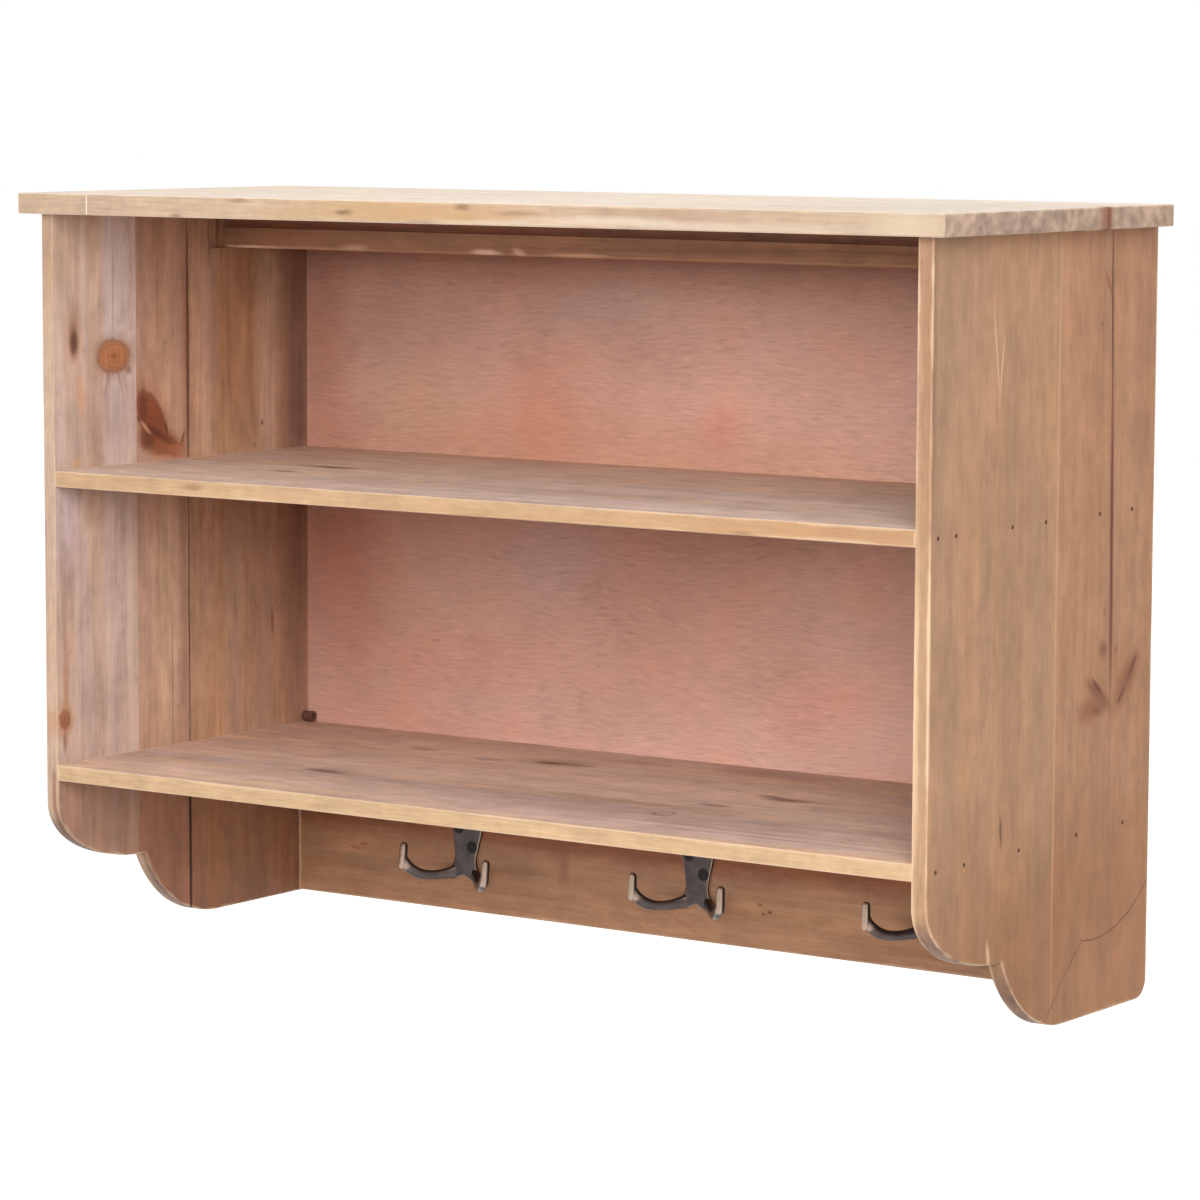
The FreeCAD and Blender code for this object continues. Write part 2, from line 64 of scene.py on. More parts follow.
class Surface:
    """One material, with short names for the nodes that its pattern is made of."""

    def __init__(self, name):
        self.material = bpy.data.materials.new(name)
        self.material.use_nodes = True
        self.tree = self.material.node_tree
        self.tree.nodes.clear()
        output = self.tree.nodes.new("ShaderNodeOutputMaterial")
        self.shader = self.tree.nodes.new("ShaderNodeBsdfPrincipled")
        self.tree.links.new(self.shader.outputs[0], output.inputs["Surface"])
        where = self.tree.nodes.new("ShaderNodeTexCoord")
        self.place = where.outputs["Object"]
        self.normal = where.outputs["Normal"]

    def make(self, kind, *values, **settings):
        """Add a node; the values go to its inputs in order, as links where they are outputs."""
        node = self.tree.nodes.new("ShaderNode" + kind)
        for key, value in settings.items():
            setattr(node, key, value)
        for socket, value in zip(node.inputs, values):
            self.put(socket, value)
        return node

    def put(self, socket, value):
        if isinstance(value, bpy.types.NodeSocket):
            self.tree.links.new(value, socket)
        else:
            socket.default_value = tuple(value)[:3] if socket.type == "VECTOR" else value

    def calc(self, operation, *values):
        return self.make("Math", *values, operation=operation).outputs[0]

    def total(self, result, *others):
        for value in others:
            result = self.calc("ADD", result, value)
        return result

    def times(self, result, *others):
        for value in others:
            result = self.calc("MULTIPLY", result, value)
        return result

    def centred(self, value, share):
        """A noise from 0 to 1, moved to lie round zero and made share wide."""
        return self.times(self.calc("SUBTRACT", value, 0.5), share)

    def vector(self, operation, *values):
        node = self.make("VectorMath", *values, operation=operation)
        return node.outputs["Value" if operation == "LENGTH" else "Vector"]

    def shaded(self, colour, shade):
        """A colour times one number."""
        return self.vector("MULTIPLY", colour, self.spot(shade, shade, shade))

    def parts(self, vector):
        return self.make("SeparateXYZ", vector).outputs

    def spot(self, *values):
        return self.make("CombineXYZ", *values).outputs[0]

    def fronting(self):
        """How squarely the surface faces the front, from -1 to 1."""
        return self.times(self.parts(self.normal)[1], -1.0)

    def ease(self, value, low, high, start=0.0, end=1.0):
        """Smooth step from start to end while the value goes from low to high."""
        node = self.make("MapRange", value, low, high, start, end, interpolation_type="SMOOTHSTEP")
        return node.outputs[0]

    def scaled(self, *per_metre):
        """The place on the piece as coordinates for noise, with so many blobs a metre."""
        return self.vector("MULTIPLY", self.place, per_metre)

    def noise(self, where, detail=2.0):
        """Noises from 0 to 1, about one blob for each unit of the coordinates."""
        node = self.make("TexNoise")
        self.put(node.inputs["Vector"], where)
        self.put(node.inputs["Scale"], 1.0)
        self.put(node.inputs["Detail"], detail)
        return node.outputs

    def cloud(self, where, detail=2.0):
        """One soft noise from 0 to 1."""
        return self.noise(where, detail)[0]

    def blend(self, share, first, second):
        node = self.make("Mix", data_type="RGBA")
        self.put(node.inputs["Factor"], share)
        self.put(node.inputs[6], first)
        self.put(node.inputs[7], second)
        return node.outputs[2]

    def distance(self, where, place):
        return self.vector("LENGTH", self.vector("SUBTRACT", where, place))

    def spread(self, where, centre, half_sizes, turn=0.0):
        """Distance from a centre, 1 on the rim of a turned oval of those half sizes, in millimetres."""
        node = self.make("Mapping", where, vector_type="TEXTURE")
        node.inputs["Location"].default_value = (centre[0] * MM, centre[1] * MM, 0)
        node.inputs["Rotation"].default_value = (0, 0, math.radians(turn))
        node.inputs["Scale"].default_value = (half_sizes[0] * MM, half_sizes[1] * MM, 1)
        return self.vector("LENGTH", node.outputs[0])

    def oval(self, where, centre, half_sizes, turn, softness):
        """1 inside a turned oval and 0 outside it; softness is the share of its size that the rim takes."""
        around = self.spread(where, centre, half_sizes, turn)
        return self.ease(around, 1.0 + softness, max(0.0, 1.0 - softness))

    def ring_distance(self, where, centre, radius):
        """Distance to a circle on the face, in metres; its centre and radius are in millimetres."""
        from_centre = self.distance(where, (centre[0] * MM, centre[1] * MM, 0))
        return self.calc("ABSOLUTE", self.calc("SUBTRACT", from_centre, radius * MM))

    def finish(self, colour, roughness, height, depth, metallic=0.0, specular=0.5):
        """Feed the shader; depth is how tall the height pattern stands, in metres."""
        self.put(self.shader.inputs["Base Color"], colour)
        self.put(self.shader.inputs["Roughness"], roughness)
        self.put(self.shader.inputs["Metallic"], metallic)
        self.put(self.shader.inputs["Specular IOR Level"], specular)
        bump = self.make("Bump")
        self.put(bump.inputs["Height"], height)
        self.put(bump.inputs["Distance"], depth)
        self.put(self.shader.inputs["Normal"], bump.outputs[0])
        return self.material


# ---- Wood ----
# How a board lies: the axes along it, across it and through it
LIES = {"upright": ("Z", "Y", "X"), "level": ("X", "Y", "Z"), "facing": ("X", "Z", "Y")}
WORN = paint(218, 190, 158)
LATE_WOOD = paint(150, 96, 62)
MIDDLE = (0.5, 0.5, 0.5)

# Scallops of a side's foot, in Y and Z: an oval in front and a circle behind it, cut off at a height
FRONT_SCALLOP, FRONT_SCALLOP_HALF_SIZES = (-49, 111), (105, 53)
REAR_SCALLOP, REAR_SCALLOP_RADIUS, REAR_SCALLOP_TOP = (38.5, 95), 95, 59
OVAL_TO_LENGTH = 60             # turns the oval's own measure into a length, about

UNDER_SHELF = (141, 133)        # the shade under the lower shelf grows between these heights
INNER_FACE = (-396, -391)       # and between these X, from a left board's middle to its inner face


def box_edge_distance(s, box):
    """Distance to the nearest edge of a box, for a point on one of its faces."""
    gaps = []
    for value, low, high in zip(s.parts(s.place), *box):
        gaps.append(s.calc("MINIMUM", s.calc("SUBTRACT", value, low), s.calc("SUBTRACT", high, value)))
    first, second, third = gaps
    smaller = s.calc("MINIMUM", first, second)
    larger = s.calc("MAXIMUM", first, second)
    return s.calc("MAXIMUM", smaller, s.calc("MINIMUM", larger, third))


def foot_edge_distance(s, across, along, deep, box):
    """Distance to the arrises of the two scallops of a side's foot."""
    face = s.spot(across, along, 0.0)
    from_oval = s.calc("SUBTRACT", s.spread(face, FRONT_SCALLOP, FRONT_SCALLOP_HALF_SIZES), 1.0)
    front = s.total(s.times(s.calc("ABSOLUTE", from_oval), OVAL_TO_LENGTH * MM),
                    s.calc("GREATER_THAN", across, FRONT_SCALLOP[0] * MM),
                    s.calc("GREATER_THAN", along, FRONT_SCALLOP[1] * MM))
    rear = s.total(s.ring_distance(face, REAR_SCALLOP, REAR_SCALLOP_RADIUS),
                   s.calc("GREATER_THAN", across, REAR_SCALLOP[0] * MM),
                   s.calc("GREATER_THAN", along, REAR_SCALLOP_TOP * MM))
    to_faces = s.calc("MINIMUM", s.calc("SUBTRACT", deep, box[0][0]), s.calc("SUBTRACT", box[1][0], deep))
    return s.calc("MAXIMUM", s.calc("MINIMUM", front, rear), to_faces)


def pine(name, seed, box, lie, tones, pith, end, front=None, front_marks=(), tilt=0.0, spacing=4.2,
         rings=0.05, streaks=0.13, knots=(), marks=(), zones=(), arcs=(), wear=0.5, inner=None,
         dull=0.52, specular=0.32):
    """Planed and waxed pine board, with its lengths in millimetres.

    tones are its base, cool and warm tones, end that of the end grain and front that of the front
    edge. pith is where the middle of the trunk runs, across and deep; tilt is its slant, and spacing
    that of the growth rings. rings, streaks and wear are how strongly these show, dull and specular
    the board's gloss, and inner the factors of the shade under the lower shelf. knots, marks, zones
    and arcs lie on the board's face, across and along, and front_marks on its front edge, in X and Z.
    """
    s = Surface(name)
    base, cool, warm = [paint(*tone) for tone in tones]
    axes = dict(zip("XYZ", s.parts(s.place)))
    along, across, deep = [axes[axis] for axis in LIES[lie]]
    face = s.spot(across, along, 0.0)
    offset = seed * 7.31

    def grain(per_metre_across, per_metre_along, detail=2.0, shift=0.0):
        scaled = s.vector("MULTIPLY", s.spot(across, deep, along),
                          (per_metre_across, per_metre_across, per_metre_along))
        return s.cloud(s.vector("ADD", scaled, (offset, shift, seed * 3.7)), detail)

    wobble = s.vector("SUBTRACT", s.noise(s.scaled(90, 90, 90))["Color"], MIDDLE)
    fray = s.vector("SUBTRACT", s.noise(s.scaled(380, 380, 240))["Color"], MIDDLE)

    def shaken_face(by_wobble, by_fray):
        """The place on the face, made uneven so far across and along by each noise."""
        place = face
        for shake, reach in ((wobble, by_wobble), (fray, by_fray)):
            place = s.vector("ADD", place, s.vector("MULTIPLY", shake, (reach[0] * MM, reach[1] * MM, 0)))
        return place

    rough_face = shaken_face((4.5, 4.5), (3.5, 4.5))
    steady_face = shaken_face((1.4, 3.0), (0.8, 2.0))

    # Growth rings: their distance from the pith, pushed aside by the knots
    aside = s.centred(grain(9, 3.2), 16 * MM)
    for knot in knots:
        half_sizes = (knot["size"][0] * 2.0, knot["size"][1] * 2.6)
        around = s.spread(rough_face, knot["at"], half_sizes, knot["turn"])
        aside = s.total(aside, s.ease(around, 1.0, 0.0, 0.0, knot.get("push", 9.0) * MM))
    sideways = s.total(across, -pith[0] * MM, s.times(along, tilt))
    depth = s.calc("SUBTRACT", deep, pith[1] * MM)
    distance = s.total(s.vector("LENGTH", s.spot(sideways, depth, 0.0)), aside)
    turns = s.total(s.calc("DIVIDE", distance, spacing * MM), s.times(grain(30, 1.4, 1.0, 5.0), 2.2))
    ring = s.calc("FRACT", turns)
    late = s.times(s.ease(ring, 0.1, 0.85), s.ease(ring, 1.0, 0.88),
                   s.ease(grain(60, 6, 2.0, 7.0), 0.3, 0.65))

    # Fibres, streaks, dark pores and pale scratches along the grain, and broad washes of tone
    fibre = grain(620, 44, 4.0, 1.0)
    streak = grain(190, 5.5, 4.0, 2.0)
    pores = s.ease(grain(520, 95, 2.0, 8.0), 0.64, 0.76)
    scratches = s.ease(grain(420, 22, 2.0, 9.0), 0.66, 0.8)
    band = grain(30, 1.6, 3.0, 3.0)
    other_band = grain(38, 2.2, 3.0, 4.0)
    blotch = s.cloud(s.vector("ADD", s.scaled(19, 19, 15), (offset, 0, seed)), 4.0)
    smudge = s.ease(grain(75, 24, 3.0, 11.0), 0.28, 0.72)
    mottle = s.cloud(s.vector("ADD", s.scaled(85, 85, 85), (seed, offset, 0)), 3.0)
    colour = s.blend(s.ease(band, 0.36, 0.7), base, cool)
    colour = s.blend(s.ease(other_band, 0.4, 0.74), colour, warm)
    colour = s.blend(s.times(late, rings * 2.2), colour, LATE_WOOD)
    shade = s.total(1.0, s.centred(fibre, 0.38), s.centred(streak, streaks * 2.9),
                    s.centred(blotch, streaks * 3.2), s.centred(mottle, 0.3),
                    s.centred(smudge, streaks * 1.5), s.times(pores, -0.26), s.times(scratches, 0.12),
                    s.times(late, -rings))
    colour = s.shaded(colour, shade)

    # Front edge
    if lie != "facing":
        flecks = s.ease(s.cloud(s.scaled(170, 170, 430), 3.0), 0.62, 0.74)
        patchy = s.total(1.0, s.centred(fibre, 0.5), s.centred(streak, 0.3), s.centred(mottle, 0.34),
                         s.centred(blotch, 0.36), s.times(flecks, -0.16))
        ahead = s.ease(s.fronting(), 0.55, 0.85)
        colour = s.blend(ahead, colour, s.shaded(paint(*front), patchy))
        uneven = s.total(s.centred(grain(45, 12, 3.0, 13.0), 7 * MM),
                         s.centred(grain(240, 60, 2.0, 14.0), 3 * MM))
        shift = (uneven, 0.0, 0.0) if lie == "upright" else (0.0, uneven, 0.0)
        rough_front = s.vector("ADD", s.spot(axes["X"], axes["Z"], 0.0), s.spot(*shift))
        for mark in front_marks:
            colour = s.blend(ahead, colour, add_mark(s, rough_front, mark, colour))

    # End grain, darker than the faces; on the sides' foot scallops, whose cut faces turn down, its dark tone
    # also stands for painted shade
    wide = s.ease(s.calc("SINE", s.times(turns, 2.6)), -0.7, 0.9)
    end_tone = s.blend(s.times(wide, 0.3), paint(*end), darker(paint(*end), 0.62))
    blots = s.total(1.0, s.centred(blotch, 0.8), s.centred(mottle, 1.3))
    face_out = dict(zip("XYZ", s.parts(s.vector("ABSOLUTE", s.normal))))
    colour = s.blend(s.ease(face_out[LIES[lie][0]], 0.3, 0.75), colour, s.shaded(end_tone, blots))

    # Broad zones, the shade under the lower shelf and worn arrises
    for zone in zones:
        colour = add_zone(s, rough_face, zone, colour)
    if inner:
        low = s.times(s.ease(along, UNDER_SHELF[0] * MM, UNDER_SHELF[1] * MM),
                      s.ease(deep, INNER_FACE[0] * MM, INNER_FACE[1] * MM))
        colour = s.blend(low, colour, s.vector("MULTIPLY", colour, inner))
    if wear:
        near = box_edge_distance(s, box)
        if lie == "upright":
            near = s.calc("MINIMUM", near, foot_edge_distance(s, across, along, deep, box))
        ragged = s.calc("MULTIPLY_ADD", s.ease(grain(70, 24, 4.0, 6.0), 0.3, 0.8), 3.6 * MM, 0.7 * MM)
        patches = s.ease(grain(26, 11, 2.0, 12.0), 0.36, 0.6, 0.25, 1.0)
        colour = s.blend(s.times(s.ease(near, ragged, 0.1 * MM), patches, wear), colour, WORN)

    # Knots, marks and drawn arcs
    height = s.total(s.times(fibre, 0.6), s.times(late, 0.3), s.times(pores, -0.5))
    for knot in knots:
        colour, height = add_knot(s, rough_face, knot, colour, height, shade)
    for mark in marks:
        colour = add_mark(s, steady_face, mark, colour)
    for arc in arcs:
        colour = add_arc(s, steady_face, arc, colour)
    roughness = s.total(dull, s.times(streak, 0.18), s.times(late, -0.08))
    return s.finish(colour, roughness, height, 0.12 * MM, specular=specular)


def add_knot(s, face, knot, colour, height, shade):
    """A knot: a halo, a dark rim and a ringed core, shaded by the grain."""
    around = s.spread(face, knot["at"], knot["size"], knot["turn"])
    halo = s.times(s.ease(around, knot.get("reach", 2.3), 0.9), knot.get("halo", 0.45))
    colour = s.blend(halo, colour, paint(*knot["halo_tone"]))
    circles = s.ease(s.calc("SINE", s.times(around, 19.0)), -1.0, 1.0)
    core = s.blend(circles, paint(*knot["tone"]), paint(*knot["ring_tone"]))
    core = s.blend(s.ease(around, 0.32, 0.1), core, paint(*knot["heart"]))
    inside = s.times(s.ease(around, 1.2, 0.8), knot.get("strength", 0.92))
    colour = s.blend(inside, colour, s.shaded(core, shade))
    rim = s.times(s.ease(around, 0.78, 1.0), s.ease(around, 1.3, 1.02), knot.get("rim", 0.5))
    colour = s.blend(rim, colour, paint(*knot["rim_tone"]))
    return colour, s.total(height, s.times(s.ease(around, 1.15, 0.8), 1.2))


def add_mark(s, face, mark, colour):
    """A soft or sharp oval of another tone."""
    centre, half_sizes, turn, tone, strength, softness = mark
    share = s.times(s.oval(face, centre, half_sizes, turn, softness), strength)
    return s.blend(share, colour, paint(*tone))


def add_zone(s, face, zone, colour):
    """A broad oval that makes the colour darker or lighter; some zones are painted shade, as their tables
    say.
    """
    centre, half_sizes, turn, factors, softness = zone
    share = s.oval(face, centre, half_sizes, turn, softness)
    return s.vector("MULTIPLY", colour, s.blend(share, (1, 1, 1, 1), factors + (1,)))


def add_arc(s, face, arc, colour):
    """A drawn arc, kept to where it is further across and lower along than two limits."""
    centre, radius, least_across, most_along, half_width, tone, strength = arc
    across, along, _ = s.parts(face)
    line = s.ease(s.ring_distance(face, centre, radius), half_width * 1.5 * MM, half_width * 0.5 * MM)
    within = s.times(s.calc("GREATER_THAN", across, least_across * MM),
                     s.calc("LESS_THAN", along, most_along * MM))
    return s.blend(s.times(line, within, strength), colour, paint(*tone))


# ---- Knots and marks, read off the photograph and placed on the boards in millimetres ----
CREAM = (240, 222, 200)
PENCIL = (96, 62, 46)
CRACK = (86, 50, 36)

ROUND_KNOT = {"at": (-83.5, 457), "size": (18, 12), "turn": 0, "tone": (168, 110, 68),
              "ring_tone": (156, 98, 60), "heart": (140, 82, 48), "halo_tone": (158, 124, 104),
              "rim_tone": (132, 84, 58), "rim": 0.6, "halo": 0.65, "reach": 1.9}
SMALL_DARK_KNOT = {"at": (-131, 470), "size": (4.2, 8.5), "turn": 0, "tone": (116, 78, 60),
                   "ring_tone": (98, 64, 52), "heart": (72, 46, 40), "reach": 3.4,
                   "halo_tone": (208, 168, 138), "rim_tone": (136, 104, 86), "push": 7.0, "halo": 0.8,
                   "strength": 0.6, "rim": 0.2}
LOW_KNOT = {"at": (-145, 176), "size": (5.5, 7.5), "turn": 0, "tone": (150, 96, 64),
            "ring_tone": (136, 82, 54), "heart": (104, 60, 42), "halo_tone": (176, 126, 88),
            "rim_tone": (150, 100, 70), "halo": 0.7, "reach": 2.8}
SPLIT_KNOT = {"at": (-40, 408), "size": (12, 20), "turn": 34, "tone": (132, 72, 44),
              "ring_tone": (118, 62, 38), "heart": (120, 64, 40), "halo_tone": (160, 108, 80),
              "rim_tone": (104, 56, 40), "rim": 0.65, "push": 12.0, "halo": 0.6}
SHELF_KNOT = {"at": (-72, 128), "size": (8, 8), "turn": 0, "tone": (168, 134, 118),
              "ring_tone": (158, 124, 108), "heart": (150, 112, 96), "halo_tone": (164, 130, 116),
              "rim_tone": (104, 70, 58), "rim": 0.75, "strength": 0.3, "halo": 0.3, "push": 14.0}

# A mark: centre, half sizes, turn in degrees, tone, strength, softness of its rim
LEFT_FRONT_MARKS = (
    ((-131, 480), (6.5, 19), 0, (138, 100, 80), 0.7, 0.9),
    ((-130.5, 470), (4.8, 10), 0, (86, 56, 44), 0.85, 0.9),
    ((-140, 452), (2.4, 34), 4, (176, 140, 120), 0.55, 0.9),
    ((-113, 456), (2.2, 30), -5, (184, 148, 126), 0.5, 0.9),
    ((-123, 428), (4.6, 16), 8, (202, 152, 118), 0.7, 0.8),
    ((-90, 441), (0.9, 9), 6, (138, 98, 76), 0.6, 0.7),
    ((-66, 446), (3.0, 2.6), 0, (116, 78, 60), 0.7, 0.7),
    ((-84, 508), (0.9, 36), 0, (140, 108, 96), 0.55, 0.7),
    ((-76, 436), (1.0, 12), 14, (146, 108, 84), 0.5, 0.7),
    ((-92, 438), (1.0, 10), -10, (146, 108, 84), 0.5, 0.7),
    ((-66, 270), (3.5, 130), 0, (208, 184, 170), 0.55, 0.8),
    ((-128, 376), (5, 4), 0, (206, 160, 96), 0.5, 0.8),
    ((-144, 204), (3, 24), 0, (176, 128, 92), 0.6, 0.9),
    ((-145, 158), (2, 8), 0, (120, 66, 48), 0.6, 0.8),
)
LEFT_MIDDLE_MARKS = (
    ((-25, 385), (26, 12), -20, (134, 76, 48), 0.92, 0.4),
    ((-33, 402), (12, 9), 0, (122, 66, 42), 0.8, 0.8),
    ((-44, 390), (9, 8), 0, (98, 54, 40), 0.85, 0.7),
    ((-49, 414), (4, 15), 0, (100, 54, 38), 0.8, 0.8),
    ((-26, 391), (3, 17), 62, (92, 48, 34), 0.75, 0.8),
    ((-8, 381), (10, 4), 0, (166, 106, 74), 0.6, 0.8),
    ((-38.6, 397), (1.7, 20), 61, (96, 50, 36), 0.85, 0.5),
    ((-46, 399), (1.8, 7), 50, (184, 138, 104), 0.8, 0.7),
    ((-18, 371), (14, 3.4), -10, (186, 132, 108), 0.7, 0.8),
    ((-21, 397), (1.6, 5.5), 15, (92, 48, 32), 0.85, 0.6),
    ((-18, 386.5), (1.2, 15), 76, (118, 68, 46), 0.75, 0.6),
    ((-0.5, 388), (1.6, 6), -22, (104, 60, 40), 0.75, 0.6),
    ((-46, 425.5), (9, 1.2), -4, (128, 74, 52), 0.6, 0.6),
    ((-15, 190), (0.7, 60), 0, (120, 78, 56), 0.6, 0.6),
)
OPEN_JOINT_MARKS = (
    ((6, 455), (1.9, 100), 0, CRACK, 0.95, 0.35),
    ((6, 240), (1.0, 120), 0, CRACK, 0.8, 0.45),
    ((6, 60), (1.8, 80), 0, (60, 34, 30), 0.95, 0.35),
    ((4, 470), (4.0, 100), 0, (136, 92, 68), 0.5, 0.8),
)
LEFT_REAR_MARKS = (
    ((100, 394), (1.6, 2.2), 20, (104, 72, 54), 0.8, 0.5),
    ((90, 377), (1.4, 1.8), 20, (110, 76, 58), 0.7, 0.5),
    ((112, 230), (2, 10), 0, (120, 80, 50), 0.6, 0.7),
    # Painted shade: two thin dark lines in front of the battens' ends, a shadow line as at the wall of a
    # notch and the crevice by the batten
    ((34, 552), (1.6, 22), 0, (84, 54, 42), 0.7, 0.8),
    ((49, 556), (2.0, 20), 0, (84, 54, 42), 0.6, 0.8),
    ((150, 404), (5, 7), 0, (120, 76, 66), 0.6, 0.8),
    ((150, 384), (6, 6), 0, (112, 66, 54), 0.6, 0.8),
)
RIGHT_FRONT_MARKS = (
    ((-67.5, 487.5), (0.9, 31), 8.4, (214, 180, 142), 0.7, 0.6),
    ((-60.3, 477.5), (0.9, 21), -7.6, (214, 180, 142), 0.7, 0.6),
    ((-54, 152), (1.6, 10), 4, (92, 58, 40), 0.85, 0.6),
    ((-69, 65), (2.2, 10), 10, (222, 182, 142), 0.7, 0.6),
    ((20.4, 330), (1.0, 300), 0, (208, 168, 128), 0.5, 0.6),
    ((27.1, 20.6), (0.6, 20), -42.5, PENCIL, 0.75, 0.6),
)
RIGHT_REAR_MARKS = (
    ((22.0, 330), (0.8, 300), 0, (204, 160, 120), 0.4, 0.6),
    ((99.5, 410), (3.6, 165), 0.75, (160, 104, 78), 0.55, 0.9),
    ((97.4, 508), (1.3, 66), 1.5, CRACK, 0.9, 0.45),
    ((100.8, 348), (2.1, 104), 1.0, (94, 52, 36), 0.95, 0.45),
    ((102.0, 276), (2.4, 32), 0, (110, 58, 40), 0.7, 0.7),
    ((102.5, 120), (1.6, 118), 0, (150, 104, 78), 0.45, 0.9),
    ((85, 234), (5.0, 19), 56, (116, 68, 46), 0.9, 0.7),
    ((83, 240), (1.6, 9), 50, (84, 44, 32), 0.8, 0.6),
    ((127, 241), (9, 23), -44, (128, 80, 54), 0.85, 0.8),
    ((135, 249), (2.6, 10), -40, (104, 62, 44), 0.7, 0.8),
    ((119, 230), (1.6, 8), -44, (92, 50, 36), 0.8, 0.6),
    ((137, 252), (2.0, 7), -30, (110, 66, 46), 0.7, 0.6),
    ((74, 225), (17, 8), 8, (136, 88, 58), 0.85, 0.8),
    ((84, 222), (7, 4), -12, (112, 66, 44), 0.6, 0.9),
    ((91, 266), (5, 6), 24, (124, 76, 54), 0.8, 0.8),
    ((110, 264), (2.4, 3.4), -20, (140, 92, 66), 0.7, 0.6),
    ((92, 293), (2, 3), 0, (142, 92, 66), 0.6, 0.6),
    ((91, 531), (2.2, 10), 30, (132, 80, 56), 0.75, 0.7),
    ((82, 502), (1.6, 1.6), 0, (130, 80, 56), 0.8, 0.5),
    ((157, 552), (3, 10), 0, (140, 92, 68), 0.6, 0.7),
    ((27.1, 20.6), (0.6, 20), -42.5, PENCIL, 0.75, 0.6),
    ((52.7, 45.6), (0.6, 17), -49.6, PENCIL, 0.8, 0.6),
)
# An arc: centre, radius, least across, most along, half width, tone, strength
PENCIL_ARC = (((83.6, 166.8), 111.9, 64.0, 120.0, 0.55, PENCIL, 0.85),)
MIDDLE_SHELF_MARKS = (
    ((-47, -248), (5, 11), 0, (104, 72, 58), 0.75, 0.6),
    ((3, -239), (7, 22), 0, (92, 62, 50), 0.8, 0.7),
    ((-64, 55), (8, 60), 0, (160, 132, 122), 0.35, 0.9),
)
LOWER_SHELF_MARKS = (
    ((88, -87), (14, 34), 0, (128, 94, 76), 0.55, 0.9),
    ((82, -84), (6, 11), 0, (84, 54, 42), 0.8, 0.7),
    ((85, -67), (4, 20), 0, (98, 64, 50), 0.6, 0.7),
    ((124, -24), (9, 24), 0, (138, 102, 84), 0.5, 0.9),
    ((133, 85), (16, 40), 0, (118, 84, 68), 0.5, 0.9),
    ((33, 164), (7, 16), 0, (84, 56, 50), 0.8, 0.8),
    ((41, 149), (4, 12), 8, (96, 66, 56), 0.7, 0.7),
    ((36, 181), (5, 18), 0, (120, 88, 76), 0.6, 0.8),
    ((-19, 137), (5, 12), 0, (108, 76, 66), 0.6, 0.7),
    ((-41, 67), (5, 60), 0, (140, 106, 94), 0.4, 0.9),
    ((-106, 220), (3, 110), 0, (150, 112, 96), 0.5, 0.8),
    ((-121, 267), (2.4, 130), 0, (156, 118, 98), 0.5, 0.8),
    ((-67, 152), (9, 40), 0, (206, 178, 160), 0.35, 0.9),
    ((70, -135), (6, 14), 0, (120, 84, 68), 0.5, 0.8),
    ((-55, -201), (7, 18), 6, (104, 68, 50), 0.7, 0.7),
    ((84, -210), (6, 12), 0, (120, 84, 64), 0.55, 0.7),
)
TOP_FRONT_MARKS = (
    ((-344.6, 578), (0.5, 12), 0, CREAM, 0.85, 0.5),
    ((-62, 579), (70, 7), 0, (184, 146, 98), 0.6, 1.0),
    ((-150, 574), (26, 4), 0, (182, 148, 112), 0.45, 1.0),
    ((14, 577), (60, 6), 0, (182, 144, 104), 0.55, 1.0),
    ((60, 579), (16, 1.4), 0, (140, 108, 84), 0.5, 0.9),
    ((-20, 572), (12, 1.2), 0, (132, 98, 74), 0.5, 0.9),
    ((-196, 584), (9, 1.2), 0, (120, 92, 72), 0.5, 0.9),
    ((-96, 577), (7, 1.6), 0, (96, 74, 58), 0.65, 0.8),
    ((-256, 571), (5, 1.6), 0, (116, 84, 62), 0.6, 0.8),
    ((12, 583), (6, 2), 0, (110, 84, 62), 0.6, 0.8),
    ((176, 580), (60, 4), 0, (158, 130, 108), 0.45, 1.0),
    ((30, 572), (46, 2.2), 0, (204, 184, 164), 0.6, 0.9),
    ((150, 574), (70, 3.0), 0, (206, 188, 170), 0.6, 0.9),
    ((270, 573), (80, 3.0), 0, (202, 182, 164), 0.55, 0.9),
    ((384, 577), (26, 11), 0, (204, 184, 156), 0.6, 0.8),
)
RIGHT_FRONT_EDGE_MARKS = (
    ((402.6, 545), (1.8, 34), 0, (204, 172, 142), 0.7, 0.9),
    ((402.4, 440), (3.0, 56), 0, (210, 178, 146), 0.85, 0.8),
    ((402.4, 300), (2.8, 66), 0, (208, 174, 140), 0.8, 0.9),
    ((402.4, 170), (3.0, 66), 0, (210, 178, 146), 0.85, 0.8),
    ((389.2, 230), (2.0, 120), 0, (206, 172, 136), 0.75, 0.9),
    ((389.4, 470), (1.6, 70), 0, (196, 160, 126), 0.5, 0.9),
    ((396, 500), (2.6, 60), 0, (164, 124, 88), 0.5, 1.0),
    ((396, 260), (2.4, 90), 0, (156, 122, 86), 0.5, 1.0),
)
MIDDLE_SHELF_EDGE_MARKS = (
    ((330, 364), (130, 12), 0, (160, 116, 80), 0.55, 0.9),
    ((120, 362), (160, 5), 0, (178, 138, 98), 0.4, 1.0),
    ((-250, 366), (9, 2), 0, (130, 92, 60), 0.5, 0.8),
    ((248, 360), (8, 2.2), 0, (110, 74, 50), 0.55, 0.8),
)
